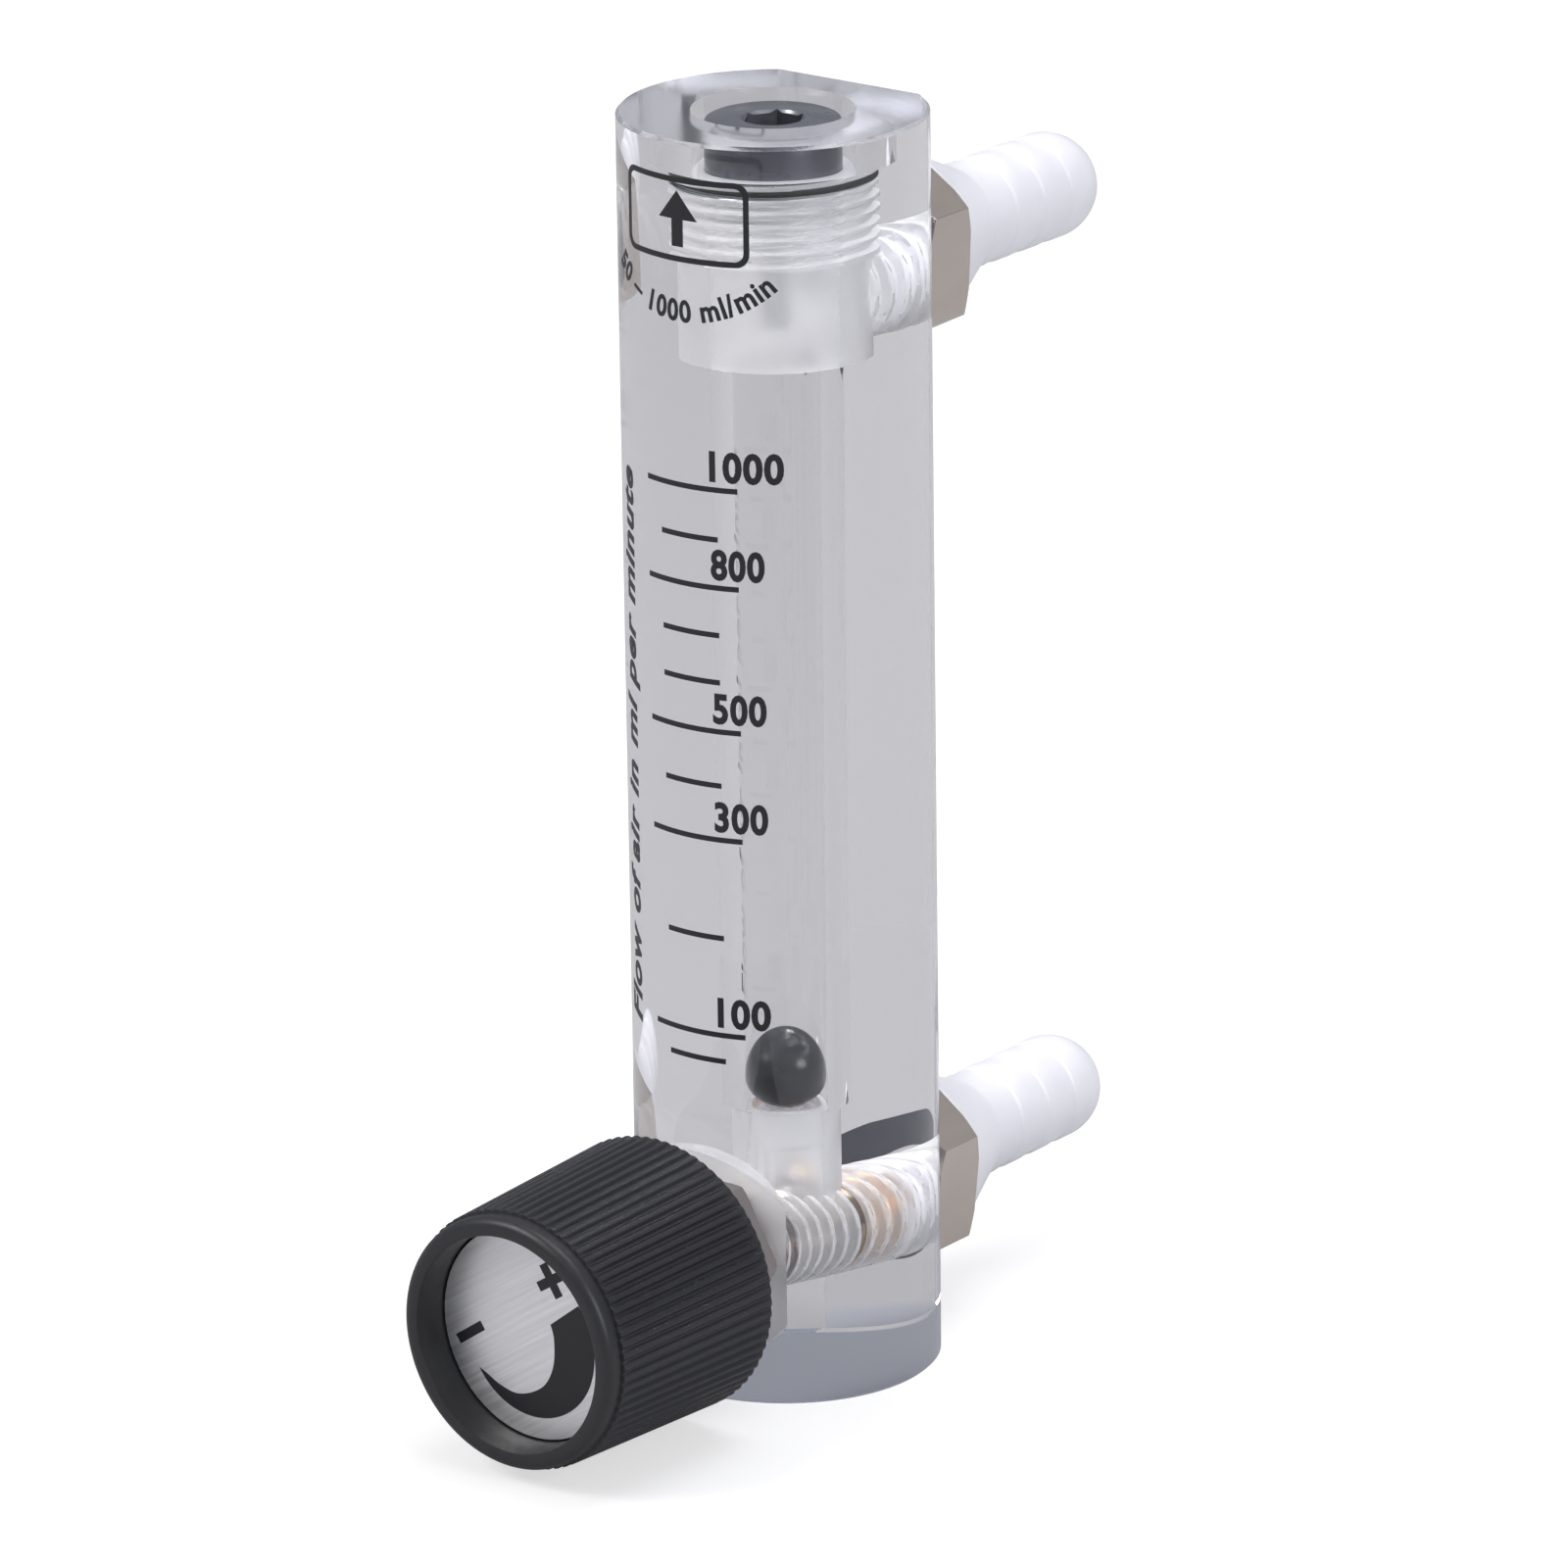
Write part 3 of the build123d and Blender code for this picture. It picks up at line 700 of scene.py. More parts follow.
steel = solid_finish(
    "steel", (0.66, 0.66, 0.67), (0.2, 0.34), metallic=1.0, scale=700, stretch=(1, 1, 5))
dark_steel = solid_finish(
    "dark_steel", (0.32, 0.33, 0.36), (0.24, 0.36), metallic=1.0, scale=700, stretch=(5, 1, 1),
    relief=0.15)
# A much darker copy of the steel as painted shade: it goes on the plug's side above its seal groove and
# on the nuts' seats against the bar.
painted_shade_steel = solid_finish(
    "painted_shade_steel", (0.13, 0.135, 0.16), (0.2, 0.3), metallic=1.0, scale=700, stretch=(5, 5, 1))
plug_radius = extent("top_plug", "X")[1]
pin_tip, plug_top = extent("top_plug", "Z")
plug_foot = 87.9
pin_radius = 1.0
seal_groove = (90.15, 91.15)
seal_groove_radius = 3.97
socket_flats = 4.0
socket_floor = 92.1
mouth_depth = 0.2               # of the cone that leads the key in
plug = grooved("plug", (
    [(0, pin_tip), (pin_radius - 0.2, pin_tip), (pin_radius, pin_tip + 0.2), (pin_radius, plug_foot),
     (plug_radius - 0.45, plug_foot), (plug_radius - 0.3, plug_foot + 0.1)]
    + rows_between(plug_radius, plug_foot + 0.3, seal_groove[0] - 0.03, 0.08)
    + [(plug_radius, seal_groove[0]), (seal_groove_radius, seal_groove[0]),
       (seal_groove_radius, seal_groove[1]), (plug_radius, seal_groove[1]),
       (plug_radius, plug_top - 0.3), (plug_radius - 0.09, plug_top - 0.09),
       (plug_radius - 0.3, plug_top), (0, plug_top)]),
    dark_steel, **thread(plug_radius, plug_depth, plug_pitch, plug_foot, seal_groove[0],
                         run_out=0.3))
# The plug's side above the seal groove takes the darker steel as painted shade.
plug.materials.append(painted_shade_steel)
for face in plug.polygons:
    if abs(face.normal.z) < 0.5 and seal_groove[1] < face.center.z < plug_top - 0.2:
        face.material_index = 1
socket_mouth = turned("socket_mouth", [
    (0, plug_top - mouth_depth), (2.12, plug_top - mouth_depth), (2.45, plug_top + mouth_depth),
    (0, plug_top + mouth_depth)], 96)
socket = cut(socket_mouth, hex_prism(socket_flats, socket_floor, plug_top + 0.3), "UNION")
plug = cut(plug, socket)
piece("plug_body", plug, "meter", "top_plug")


# Seal rings: moulded rings that lie squeezed in the plug's groove, the lock nuts, the
# bonnet's recess and the stem's groove. The ports' are milky silicone, the others rubber.
rubber = solid_finish("rubber", (0.018, 0.018, 0.02), (0.5, 0.6), scale=1500, relief=0.15)
milky = solid_finish(
    "milky_silicone", (0.80, 0.80, 0.84), (0.35, 0.45), relief=0.05, tone=0.03, under_skin=0.6)
ring_steps = 32


def seal_ring(name, node_name, radius, section, along, height=None, body="meter", skin=rubber):
    """A ring with its section's centre at this radius, round the port axis or round Z."""
    half = section / 2
    profile = [(
        radius + half * math.cos(math.tau * i / ring_steps),
        along + half * math.sin(math.tau * i / ring_steps)) for i in range(ring_steps)]
    mesh = turned(name, profile, 128)
    if height is not None:
        to_port(mesh, height)
    piece(name, mesh, body, node_name, skin, smooth=80)


seal_ring("plug_seal", "top_plug_oring", 4.47, 0.96, 90.65)
seal_ring("upper_port_seal", "upper_port_oring", 4.63, 1.16, 9.9, outlet_height, skin=milky)
seal_ring("lower_port_seal", "lower_port_oring", 4.63, 1.16, 9.9, valve_height, skin=milky)
seal_ring("bonnet_seal", "bonnet_oring", 4.55, 1.0, -9.52, valve_height)
seal_ring("stem_seal_ring", "stem_oring", 2.32, 0.92, -9.86, valve_height, "stem_seal")


# Hose fittings: white nylon mouldings, screwed into the ports from behind. Each has a
# coarse thread, a collar that the lock nut bears on and a barbed tail with a rounded end.
nylon = solid_finish(
    "nylon", (0.905, 0.895, 0.955), (0.3, 0.42), scale=300, stretch=(1, 2, 1), relief=0.05,
    tone=0.02, under_skin=0.5)
shank_radius = 3.95
shank_start = extent("lower_fitting", "Y")[0]
tail_bore = 1.6
collar_radius = 6.9
collar_length = 0.5
nut_back = extent("lower_lock_nut", "Y")[1]
tail_radius = 4.0
neck_end = 21.2                 # from here the tail is barbed
dome_start = 32.7               # from here the tail's end is a dome
barb_count = 3
barb_length = 3.4


def fitting_profile():
    """Half section of a hose fitting along its axis, bore included."""
    points = [(tail_bore, shank_start), (3.5, shank_start), (3.75, shank_start + 0.12)]
    points += rows_between(shank_radius, shank_start + 0.3, nut_back - 0.05, port_pitch / 10)
    points += [(shank_radius, nut_back), (collar_radius - 0.15, nut_back),
               (collar_radius, nut_back + 0.12), (collar_radius, nut_back + collar_length - 0.12),
               (collar_radius - 0.08, nut_back + collar_length + 0.03),
               (tail_radius + 0.06, neck_end - 0.23), (tail_radius, neck_end)]
    for index in reversed(range(barb_count)):
        crest = dome_start - (index + 0.5) * barb_length
        points += [(tail_radius, crest - barb_length / 2), (tail_radius - 0.17, crest - 0.12),
                   (tail_radius - 0.14, crest), (tail_radius - 0.04, crest + 0.1),
                   (tail_radius, crest + 0.2)]
    for degrees in range(0, 66, 4):
        angle = math.radians(degrees)
        points.append((tail_radius * math.cos(angle), dome_start + tail_radius * math.sin(angle)))
    mouth = dome_start + tail_radius * math.sin(math.acos((tail_bore + 0.15) / tail_radius))
    return points + [
        (tail_bore + 0.15, mouth), (tail_bore + 0.02, mouth - 0.05), (tail_bore, mouth - 0.2)]


for side, height in (("upper", outlet_height), ("lower", valve_height)):
    fitting = grooved(
        side + "_fitting", fitting_profile(), nylon,
        **port_thread(shank_start, nut_back, shank_radius))
    piece(side + "_hose_tail", to_port(fitting, height), "meter", side + "_fitting",
          nylon, smooth=35)


# Lock nuts: nickel-plated brass, turned blanks milled to a hexagon, faces chamfered 30 degrees.
# Each one's ground seat against the bar is painted dark as shade, so that it shows dark through the bar.
nickel = solid_finish(
    "nickel", (0.65, 0.585, 0.525), (0.12, 0.22), metallic=1.0, scale=500, stretch=(1, 3, 1),
    relief=0.08, tone=0.05)
nut_flats = 14.0
nut_face_radius = 7.3
nut_hole = 4.05
nut_recess = (5.26, 1.2)        # radius and depth of the room for its seal ring
nut_bevel = 0.12
blank_spare = 0.01              # the blank stands this far past the hexagon's corners


def hex_frame(across_flats, start, end, corner_at, outer=12.0):
    """A ring with a hexagonal hole, to cut a turned blank to a hexagon."""
    shape = bmesh.new()
    corner = across_flats / math.sqrt(3)
    loops = []
    for height in (start, end):
        inner = [shape.verts.new((
            corner * math.cos(corner_at + i * math.tau / 6),
            corner * math.sin(corner_at + i * math.tau / 6), height)) for i in range(6)]
        ring = [shape.verts.new((
            outer * math.cos(corner_at + i * math.tau / 6),
            outer * math.sin(corner_at + i * math.tau / 6), height)) for i in range(6)]
        loops.append((inner, ring))
    (inner_low, ring_low), (inner_high, ring_high) = loops
    for i in range(6):
        j = (i + 1) % 6
        shape.faces.new((inner_low[i], inner_low[j], inner_high[j], inner_high[i]))
        shape.faces.new((ring_low[i], ring_high[i], ring_high[j], ring_low[j]))
        shape.faces.new((inner_low[i], ring_low[i], ring_low[j], inner_low[j]))
        shape.faces.new((inner_high[i], inner_high[j], ring_high[j], ring_high[i]))
    bmesh.ops.recalc_face_normals(shape, faces=shape.faces)
    mesh = bpy.data.meshes.new("hex_frame")
    shape.to_mesh(mesh)
    shape.free()
    return mesh


def hex_blank(across_flats, face_radius):
    """Radius of a blank at the hexagon's corners, and the height of its 30 degree chamfer."""
    corner = across_flats / math.sqrt(3)
    return corner + blank_spare, (corner - face_radius) * math.tan(math.radians(30))


nut_corner, nut_cone = hex_blank(nut_flats, nut_face_radius)
for side, height, turn, lift in (
    ("upper", outlet_height, 27.0, 0.01), ("lower", valve_height, 24.0, -0.01),
):
    seat_at = bar_flat + lift
    recess_at = bar_flat + nut_recess[1]
    nut = turned("nut", [
        (nut_recess[0], seat_at), (nut_face_radius, seat_at), (nut_corner, bar_flat + nut_cone),
        (nut_corner, nut_back - nut_cone), (nut_face_radius, nut_back), (nut_hole + 0.2, nut_back),
        (nut_hole, nut_back - 0.2), (nut_hole, recess_at + 0.15), (nut_hole, recess_at),
        (nut_recess[0], recess_at)], 192)
    nut = cut(nut, hex_frame(nut_flats, bar_flat - 1, nut_back + 1, -math.radians(turn)))
    nut.materials.clear()
    nut.materials.append(nickel)
    nut.materials.append(painted_shade_steel)
    for face in nut.polygons:
        # The seat that meets the bar takes the darker steel as painted shade.
        is_seat = face.normal.z < -0.9 and face.center.z < bar_flat + 0.05
        face.material_index = 1 if is_seat else 0
    piece(side + "_hex_nut", to_port(nut, height), "meter", side + "_lock_nut",
          bevel=nut_bevel)


# Valve seat: a brass insert with the orifice, screwed into the port's floor. The slot across
# its back takes the screwdriver.
def block(low, high):
    """A closed box between two corners."""
    shape = bmesh.new()
    bmesh.ops.create_cube(shape, size=1)
    for vertex in shape.verts:
        for axis in range(3):
            vertex.co[axis] = low[axis] if vertex.co[axis] < 0 else high[axis]
    mesh = bpy.data.meshes.new("block")
    shape.to_mesh(mesh)
    shape.free()
    return mesh


brass = solid_finish(
    "brass", (0.86, 0.52, 0.20), (0.22, 0.34), metallic=1.0, scale=700, stretch=(1, 3, 1))
orifice = 0.8
insert_front, insert_back = extent("valve_seat", "Y")
slot_half = 0.5
slot_depth = 0.6
seat = grooved("seat", (
    [(orifice, insert_front), (shank_radius - 0.45, insert_front)]
    + rows_between(shank_radius, insert_front + 0.2, insert_back - 0.1, port_pitch / 12)
    + [(shank_radius - 0.35, insert_back), (orifice, insert_back)]),
    brass, **port_thread(insert_front - 0.5, insert_back + 0.5, shank_radius))
seat = cut(seat, block((-5, -slot_half, insert_back - slot_depth), (5, slot_half, 5)))
piece("orifice_insert", to_port(seat, valve_height), "meter", "valve_seat", brass)


# Bonnet: nickel-plated brass, screwed in until its hex flange presses the seal on the spot
# face. Four holes in its sleeve let the gas out from round the needle.
bonnet_flats = 11.0
bonnet_face_radius = 6.1
bonnet_front, sleeve_end = extent("valve_bonnet", "Y")
bonnet_neck = 3.7
flange = (-12.4, -9.4)
bonnet_recess = (5.1, -10.05)
sleeve_bore = 2.3
stem_bore = 2.8
stem_thread = (-8.0, -3.0)
stem_thread_bore = 2.0
gas_hole = 1.1
bonnet_corner, bonnet_cone = hex_blank(bonnet_flats, bonnet_face_radius)
bonnet = grooved("bonnet", (
    [(stem_bore, bonnet_front + 0.1), (stem_bore + 0.1, bonnet_front),
     (bonnet_neck - 0.15, bonnet_front), (bonnet_neck, bonnet_front + 0.15),
     (bonnet_neck, flange[0]), (bonnet_face_radius, flange[0]),
     (bonnet_corner, flange[0] + bonnet_cone), (bonnet_corner, flange[1] - bonnet_cone),
     (bonnet_face_radius, flange[1]), (bonnet_recess[0], flange[1]), bonnet_recess,
     (shank_radius, bonnet_recess[1]), (shank_radius, spot_face - 0.2)]
    + rows_between(shank_radius, spot_face, sleeve_end - 0.2, port_pitch / 10)
    + [(shank_radius - 0.25, sleeve_end), (sleeve_bore, sleeve_end), (sleeve_bore, stem_thread[1]),
       (stem_thread_bore, stem_thread[1])]
    + rows_between(stem_thread_bore, stem_thread[1] - 0.1, stem_thread[0] + 0.1, 0.1)
    + [(stem_thread_bore, stem_thread[0]), (stem_bore, stem_thread[0])]),
    nickel, **port_thread(spot_face, sleeve_end, shank_radius))
bonnet = cut(bonnet, hex_frame(bonnet_flats, flange[0] - 0.6, flange[1] + 0.5, 0.0))
for turn in (0, math.pi / 2):
    drill = turned("drill", [(0, -5), (gas_hole, -5), (gas_hole, 5), (0, 5)], 48)
    drill.transform(Matrix.Rotation(turn, 4, "Z") @ Matrix.Rotation(math.pi / 2, 4, "X"))
    bonnet = cut(bonnet, drill)
piece("bonnet_body", to_port(bonnet, valve_height), "meter", "valve_bonnet", nickel)


# Stem: a stainless needle with a fine thread that screws in the bonnet, a sealed barrel and
# a flatted shank for the knob, drilled for its screw.
shank_end = extent("valve_stem", "Y")[0]
stem_shank = 2.0
shank_flat = -1.5
barrel = (-16.2, -8.3)
barrel_radius = 2.75
stem_groove = (-10.34, -9.38)
stem_groove_radius = 1.84
stem_thread_radius = 1.95
stem_pitch = 0.5
needle_radius = 1.2
needle_shoulder = -0.8
needle_tip = 2.85
screw_hole = 1.25
screw_hole_floor = -21.8
stem = grooved("stem", (
    [(0, shank_end), (screw_hole, shank_end), (stem_shank - 0.1, shank_end),
     (stem_shank, shank_end + 0.1), (stem_shank, barrel[0]), (barrel_radius - 0.05, barrel[0]),
     (barrel_radius, barrel[0] + 0.05), (barrel_radius, stem_groove[0]),
     (stem_groove_radius, stem_groove[0]), (stem_groove_radius, stem_groove[1]),
     (barrel_radius, stem_groove[1]), (barrel_radius, barrel[1] - 0.05),
     (barrel_radius - 0.05, barrel[1])]
    + rows_between(stem_thread_radius, barrel[1] + 0.05, stem_thread[1] - 0.05, stem_pitch / 10)
    + [(needle_radius, stem_thread[1]), (needle_radius, needle_shoulder), (0.2, needle_tip - 0.05),
       (0, needle_tip)]),
    steel, segments=64, **thread(
        stem_thread_radius - 0.01, 0.28, stem_pitch, barrel[1], stem_thread[1], run_out=0.2))
stem = cut(stem, block((-3, -3, shank_end - 0.8), (3, shank_flat, barrel[0])))
stem = cut(stem, turned("screw_hole", [
    (0, shank_end - 0.8), (screw_hole, shank_end - 0.8), (screw_hole, screw_hole_floor),
    (0, screw_hole_floor + 0.4)], 48))
piece("needle_stem", to_port(stem, valve_height), "knob_and_stem", "valve_stem", steel)


# Knob: a black moulded shell with straight ridges, a deep recess in front and a hub and
# ribs behind. The key in its hub sits on the stem's flat.
black = solid_finish("black_plastic", (0.020, 0.020, 0.023), (0.36, 0.48), scale=1800, relief=0.12)
knob_front, knob_back = extent("knob", "Y")
wall_back = 10.4                # radius over the ridges at the back
wall_draft = 0.65 / 16.5        # what that radius loses per millimetre towards the front
wall_front = -31.85
skirt_radius = 8.5              # inside the wall, behind the web
lip_middle = 8.8
lip_radius = 0.7
recess_radius = 8.15
recess_floor = extent("knob_disc", "Y")[1]
hub_radius = 3.8
hub_bore = 2.05
hub_back = -16.2
web = (-25.9, -26.5)            # its back, and the floor of the hub's bore in it
head_back = -28.1               # seat of the screw's head
ridge_count = 72
ridge_foot = 9.7                # the wall outside this radius is ridged
ridge_depth = 0.25
rib_count = 6
rib_half = 0.5
rib_back = -17.4

copies_tree, copies_in, copies_out = new_tree("ring_of_copies", ("Count",))
spots = copies_tree.nodes.new("GeometryNodePoints")
copies_tree.links.new(copies_in.outputs["Count"], spots.inputs["Count"])
order = copies_tree.nodes.new("GeometryNodeInputIndex")
spin = copies_tree.nodes.new("ShaderNodeCombineXYZ")
copies_tree.links.new(sums(copies_tree, "MULTIPLY", sums(
    copies_tree, "DIVIDE", order.outputs[0], copies_in.outputs["Count"]), math.tau), spin.inputs[2])
spread = copies_tree.nodes.new("GeometryNodeInstanceOnPoints")
copies_tree.links.new(spots.outputs[0], spread.inputs["Points"])
copies_tree.links.new(copies_in.outputs["Geometry"], spread.inputs["Instance"])
copies_tree.links.new(spin.outputs[0], spread.inputs["Rotation"])
finish_tree(copies_tree, spread.outputs[0], copies_in, copies_out)

knob_profile = [(skirt_radius, knob_back), (wall_back - 0.1, knob_back)]
for radius, along in rows_between(wall_back, knob_back - 0.1, wall_front, 0.8):
    knob_profile.append((radius + (along - knob_back) * wall_draft, along))
knob_profile.append((lip_middle + lip_radius, wall_front - 0.05))
for degrees in range(0, 91, 10):
    angle = math.radians(degrees)
    knob_profile.append((
        lip_middle + lip_radius * math.cos(angle),
        knob_front + lip_radius - lip_radius * math.sin(angle)))
knob_profile += [
    (recess_radius + 0.15, knob_front), (recess_radius + 0.04, knob_front + 0.05),
    (recess_radius, knob_front + 0.15), (recess_radius, recess_floor), (2.6, recess_floor),
    (2.6, head_back), (1.3, head_back), (1.3, web[1]), (hub_bore, web[1]), (hub_bore, hub_back - 0.1),
    (hub_bore + 0.1, hub_back), (hub_radius - 0.1, hub_back), (hub_radius, hub_back - 0.1),
    (hub_radius, web[0]), (skirt_radius, web[0])]
shell = grooved(
    "shell", knob_profile, black, segments=720, Wall=ridge_foot, Depth=ridge_depth,
    Starts=ridge_count, Pitch=1e6, Start=wall_front - 0.15, End=knob_back + 0.1, Run_out=0.35,
    Fullness=0.25)
rib = block((hub_radius - 0.1, -rib_half, web[0] - 0.1), (skirt_radius + 0.1, rib_half, rib_back))
ribs = run_tree(rib, copies_tree, black, Count=rib_count)
key = block((-1.6, -2.4, web[1]), (1.6, shank_flat - 0.05, hub_back - 0.05))
shape = bmesh.new()
for mesh in (shell, ribs, key):
    shape.from_mesh(mesh)
knob_mesh = bpy.data.meshes.new("ridged_knob")
shape.to_mesh(knob_mesh)
shape.free()
piece("ridged_knob", to_port(knob_mesh, valve_height), "knob_and_stem", "knob",
      black, smooth=25)


# Knob disc: an aluminium blank brushed one way, its rim broken all round, glued into the
# knob's recess over the screw.
aluminium = solid_finish(
    "aluminium", (0.92, 0.915, 0.92), (0.34, 0.5), metallic=0.85, scale=5000, stretch=(40, 1, 1),
    relief=0.3, turn=-33.0, tone=0.12)
disc_radius = -extent("knob_disc", "X")[0]
disc_front = extent("knob_disc", "Y")[0]
disc = turned("disc", [
    (0, disc_front), (disc_radius - 0.06, disc_front), (disc_radius, disc_front + 0.06),
    (disc_radius, recess_floor - 0.05), (disc_radius - 0.05, recess_floor), (0, recess_floor)], 192)
piece("brushed_disc", to_port(disc, valve_height), "knob_and_stem", "knob_disc",
      aluminium)


# Knob screw: a slotted stainless screw, put in from the front to hold the knob on the stem.
# The disc covers its head.
head_radius = extent("knob_screw", "X")[1]
head_front, screw_end = extent("knob_screw", "Y")
screw_radius = 1.2
screw_pitch = 0.45
screw_slot_half = 0.35
screw_slot_depth = 0.6
screw = grooved("screw", (
    [(0, head_front), (head_radius - 0.2, head_front), (head_radius, head_front + 0.2),
     (head_radius, head_back), (screw_radius, head_back)]
    + rows_between(screw_radius, head_back + 0.1, screw_end - 0.2, 0.06)
    + [(screw_radius - 0.3, screw_end), (0, screw_end)]),
    steel, segments=48, **thread(
        screw_radius - 0.01, 0.22, screw_pitch, head_back + 0.2, screw_end, run_out=0.3))
screw = cut(screw, block(
    (-3, -screw_slot_half, head_front - screw_slot_depth),
    (3, screw_slot_half, head_front + screw_slot_depth)))
piece("clamp_screw", to_port(screw, valve_height), "knob_and_stem", "knob_screw", steel)


# Marks on the disc: a plus, a minus and a crescent that grows with the flow, filled with
# black ink that stands a little proud of the brushed face.
ink = solid_finish("ink", (0.012, 0.012, 0.015), (0.4, 0.5), scale=2500)
ink_height = 0.03
mark_face = disc_front + 0.005  # the marks' backs lie this far in the disc


def flat_shape(outlines, thickness):
    """Closed plates of this thickness over (x, y) outlines given anticlockwise."""
    shape = bmesh.new()
    for outline in outlines:
        low = [shape.verts.new((x, y, 0)) for x, y in outline]
        high = [shape.verts.new((x, y, thickness)) for x, y in outline]
        shape.faces.new(low[::-1])
        shape.faces.new(high)
        for i in range(len(low)):
            j = (i + 1) % len(low)
            shape.faces.new((low[i], low[j], high[j], high[i]))
    mesh = bpy.data.meshes.new("plates")
    shape.to_mesh(mesh)
    shape.free()
    return mesh


def turned_points(points, centre, degrees):
    """Points turned about the origin and moved to a centre."""
    c, s = math.cos(math.radians(degrees)), math.sin(math.radians(degrees))
    return [(centre[0] + c * x - s * y, centre[1] + s * x + c * y) for x, y in points]


def smooth_line(points, steps=8):
    """A curve through these points, each stretch in this many steps."""
    line = []
    ends = [points[0], *points, points[-1]]
    for before, start, end, after in zip(ends, ends[1:], ends[2:], ends[3:]):
        for i in range(steps):
            t = i / steps
            line.append(tuple(0.5 * (
                2 * q + (r - p) * t + (2 * p - 5 * q + 4 * r - u) * t ** 2
                + (3 * q - p - 3 * r + u) * t ** 3)
                for p, q, r, u in zip(before, start, end, after)))
    return line + [points[-1]]


mark_half = 0.75 / 2            # half the width of a stroke
plus_arm = 2.7 / 2
minus_arm = 2.75 / 2
crescent_radius = 5.75
crescent_centre = -0.65
crescent_start = 40.5           # degrees, where the rim side of the crescent begins
crescent_sweep = -188.5
crescent_steps = 60
plus = [
    (mark_half, mark_half), (mark_half, plus_arm), (-mark_half, plus_arm), (-mark_half, mark_half),
    (-plus_arm, mark_half), (-plus_arm, -mark_half), (-mark_half, -mark_half), (-mark_half, -plus_arm),
    (mark_half, -plus_arm), (mark_half, -mark_half), (plus_arm, -mark_half), (plus_arm, mark_half)]
minus = [
    (-minus_arm, -mark_half), (minus_arm, -mark_half), (minus_arm, mark_half), (-minus_arm, mark_half)]
crescent = []
for i in range(crescent_steps + 1):
    angle = math.radians(crescent_start + crescent_sweep * i / crescent_steps)
    crescent.append((
        crescent_radius * math.cos(angle), crescent_centre + crescent_radius * math.sin(angle)))
crescent += smooth_line([
    (-4.5, -3.88), (-3.9, -4.18), (-3.0, -4.62), (-1.5, -4.95), (0.0, -4.52), (1.25, -3.6),
    (2.0, -2.0), (2.1, 0.0), (1.8, 1.08)])
for name, outline in (
    ("disc_plus", turned_points(plus, (1.93, 4.47), 32.5)),
    ("disc_minus", turned_points(minus, (-5.63, -1.18), 34.5)),
    ("disc_crescent", crescent[::-1]),
):
    mark = flat_shape([outline], ink_height)
    mark.transform(
        Matrix.Translation((0, mark_face, valve_height)) @ Matrix.Rotation(math.pi / 2, 4, "X"))
    piece(name, mark, "knob_and_stem", None, ink)


# Scale on the bar: screen-printed black ink, wrapped round the front. Flow is read from the
# ticks and numbers at the ball's middle, and a line up the left gives the unit.
ink_sunk = 0.004
wrap_step = 0.4                 # widest flat strip of ink round the bar
letter_space = 1.08


def wrapped(flat_mesh):
    """Bend a flat drawing, x along the bar's circumference and y up, onto the bar as ink."""
    shape = bmesh.new()
    shape.from_mesh(flat_mesh)
    bmesh.ops.remove_doubles(shape, verts=shape.verts, dist=0.002)
    low = min(v.co.x for v in shape.verts)
    high = max(v.co.x for v in shape.verts)
    x = math.ceil(low / wrap_step) * wrap_step
    while x < high:
        everything = shape.verts[:] + shape.edges[:] + shape.faces[:]
        bmesh.ops.bisect_plane(shape, geom=everything, plane_co=(x, 0, 0), plane_no=(1, 0, 0), dist=1e-4)
        x += wrap_step
    for face in shape.faces:
        if face.normal.z < 0:
            face.normal_flip()
    top = bmesh.ops.extrude_face_region(shape, geom=shape.faces[:])
    for vertex in (v for v in top["geom"] if isinstance(v, bmesh.types.BMVert)):
        vertex.co.z += ink_height
    for vertex in shape.verts:
        radius = bar_radius - ink_sunk + vertex.co.z
        angle = vertex.co.x / bar_radius
        vertex.co = Vector((radius * math.sin(angle), -radius * math.cos(angle), vertex.co.y))
    bmesh.ops.recalc_face_normals(shape, faces=shape.faces)
    # The extrusion leaves vertices and faces in a chance order, so both get a fixed one.
    for items, place in (
        (shape.verts, lambda vertex: vertex.co[:]),
        (shape.faces, lambda face: face.calc_center_median()[:]),
    ):
        for index, item in enumerate(sorted(items, key=place)):
            item.index = index
        items.sort()
    mesh = bpy.data.meshes.new("print")
    shape.to_mesh(mesh)
    shape.free()
    return mesh


def lettering(text, height, width, bold=0.0, slant=0.0):
    """Flat letters whose box is this wide and high, its lower left corner at the origin."""
    curve = bpy.data.curves.new("letters", "FONT")
    curve.body = text
    curve.resolution_u = 4
    curve.offset = bold
    curve.shear = slant
    curve.space_character = letter_space
    carrier = link_new("letters", curve)
    evaluated = carrier.evaluated_get(bpy.context.evaluated_depsgraph_get())
    mesh = bpy.data.meshes.new_from_object(evaluated)
    bpy.data.objects.remove(carrier)
    left = min(v.co.x for v in mesh.vertices)
    right = max(v.co.x for v in mesh.vertices)
    foot = min(v.co.y for v in mesh.vertices)
    head = max(v.co.y for v in mesh.vertices)
    stretch = Matrix.Diagonal((width / (right - left), height / (head - foot), 1, 1))
    mesh.transform(stretch @ Matrix.Translation((-left, -foot, 0)))
    return mesh


def arc(degrees):
    """Arc length in millimetres along the bar's surface."""
    return math.radians(degrees) * bar_radius


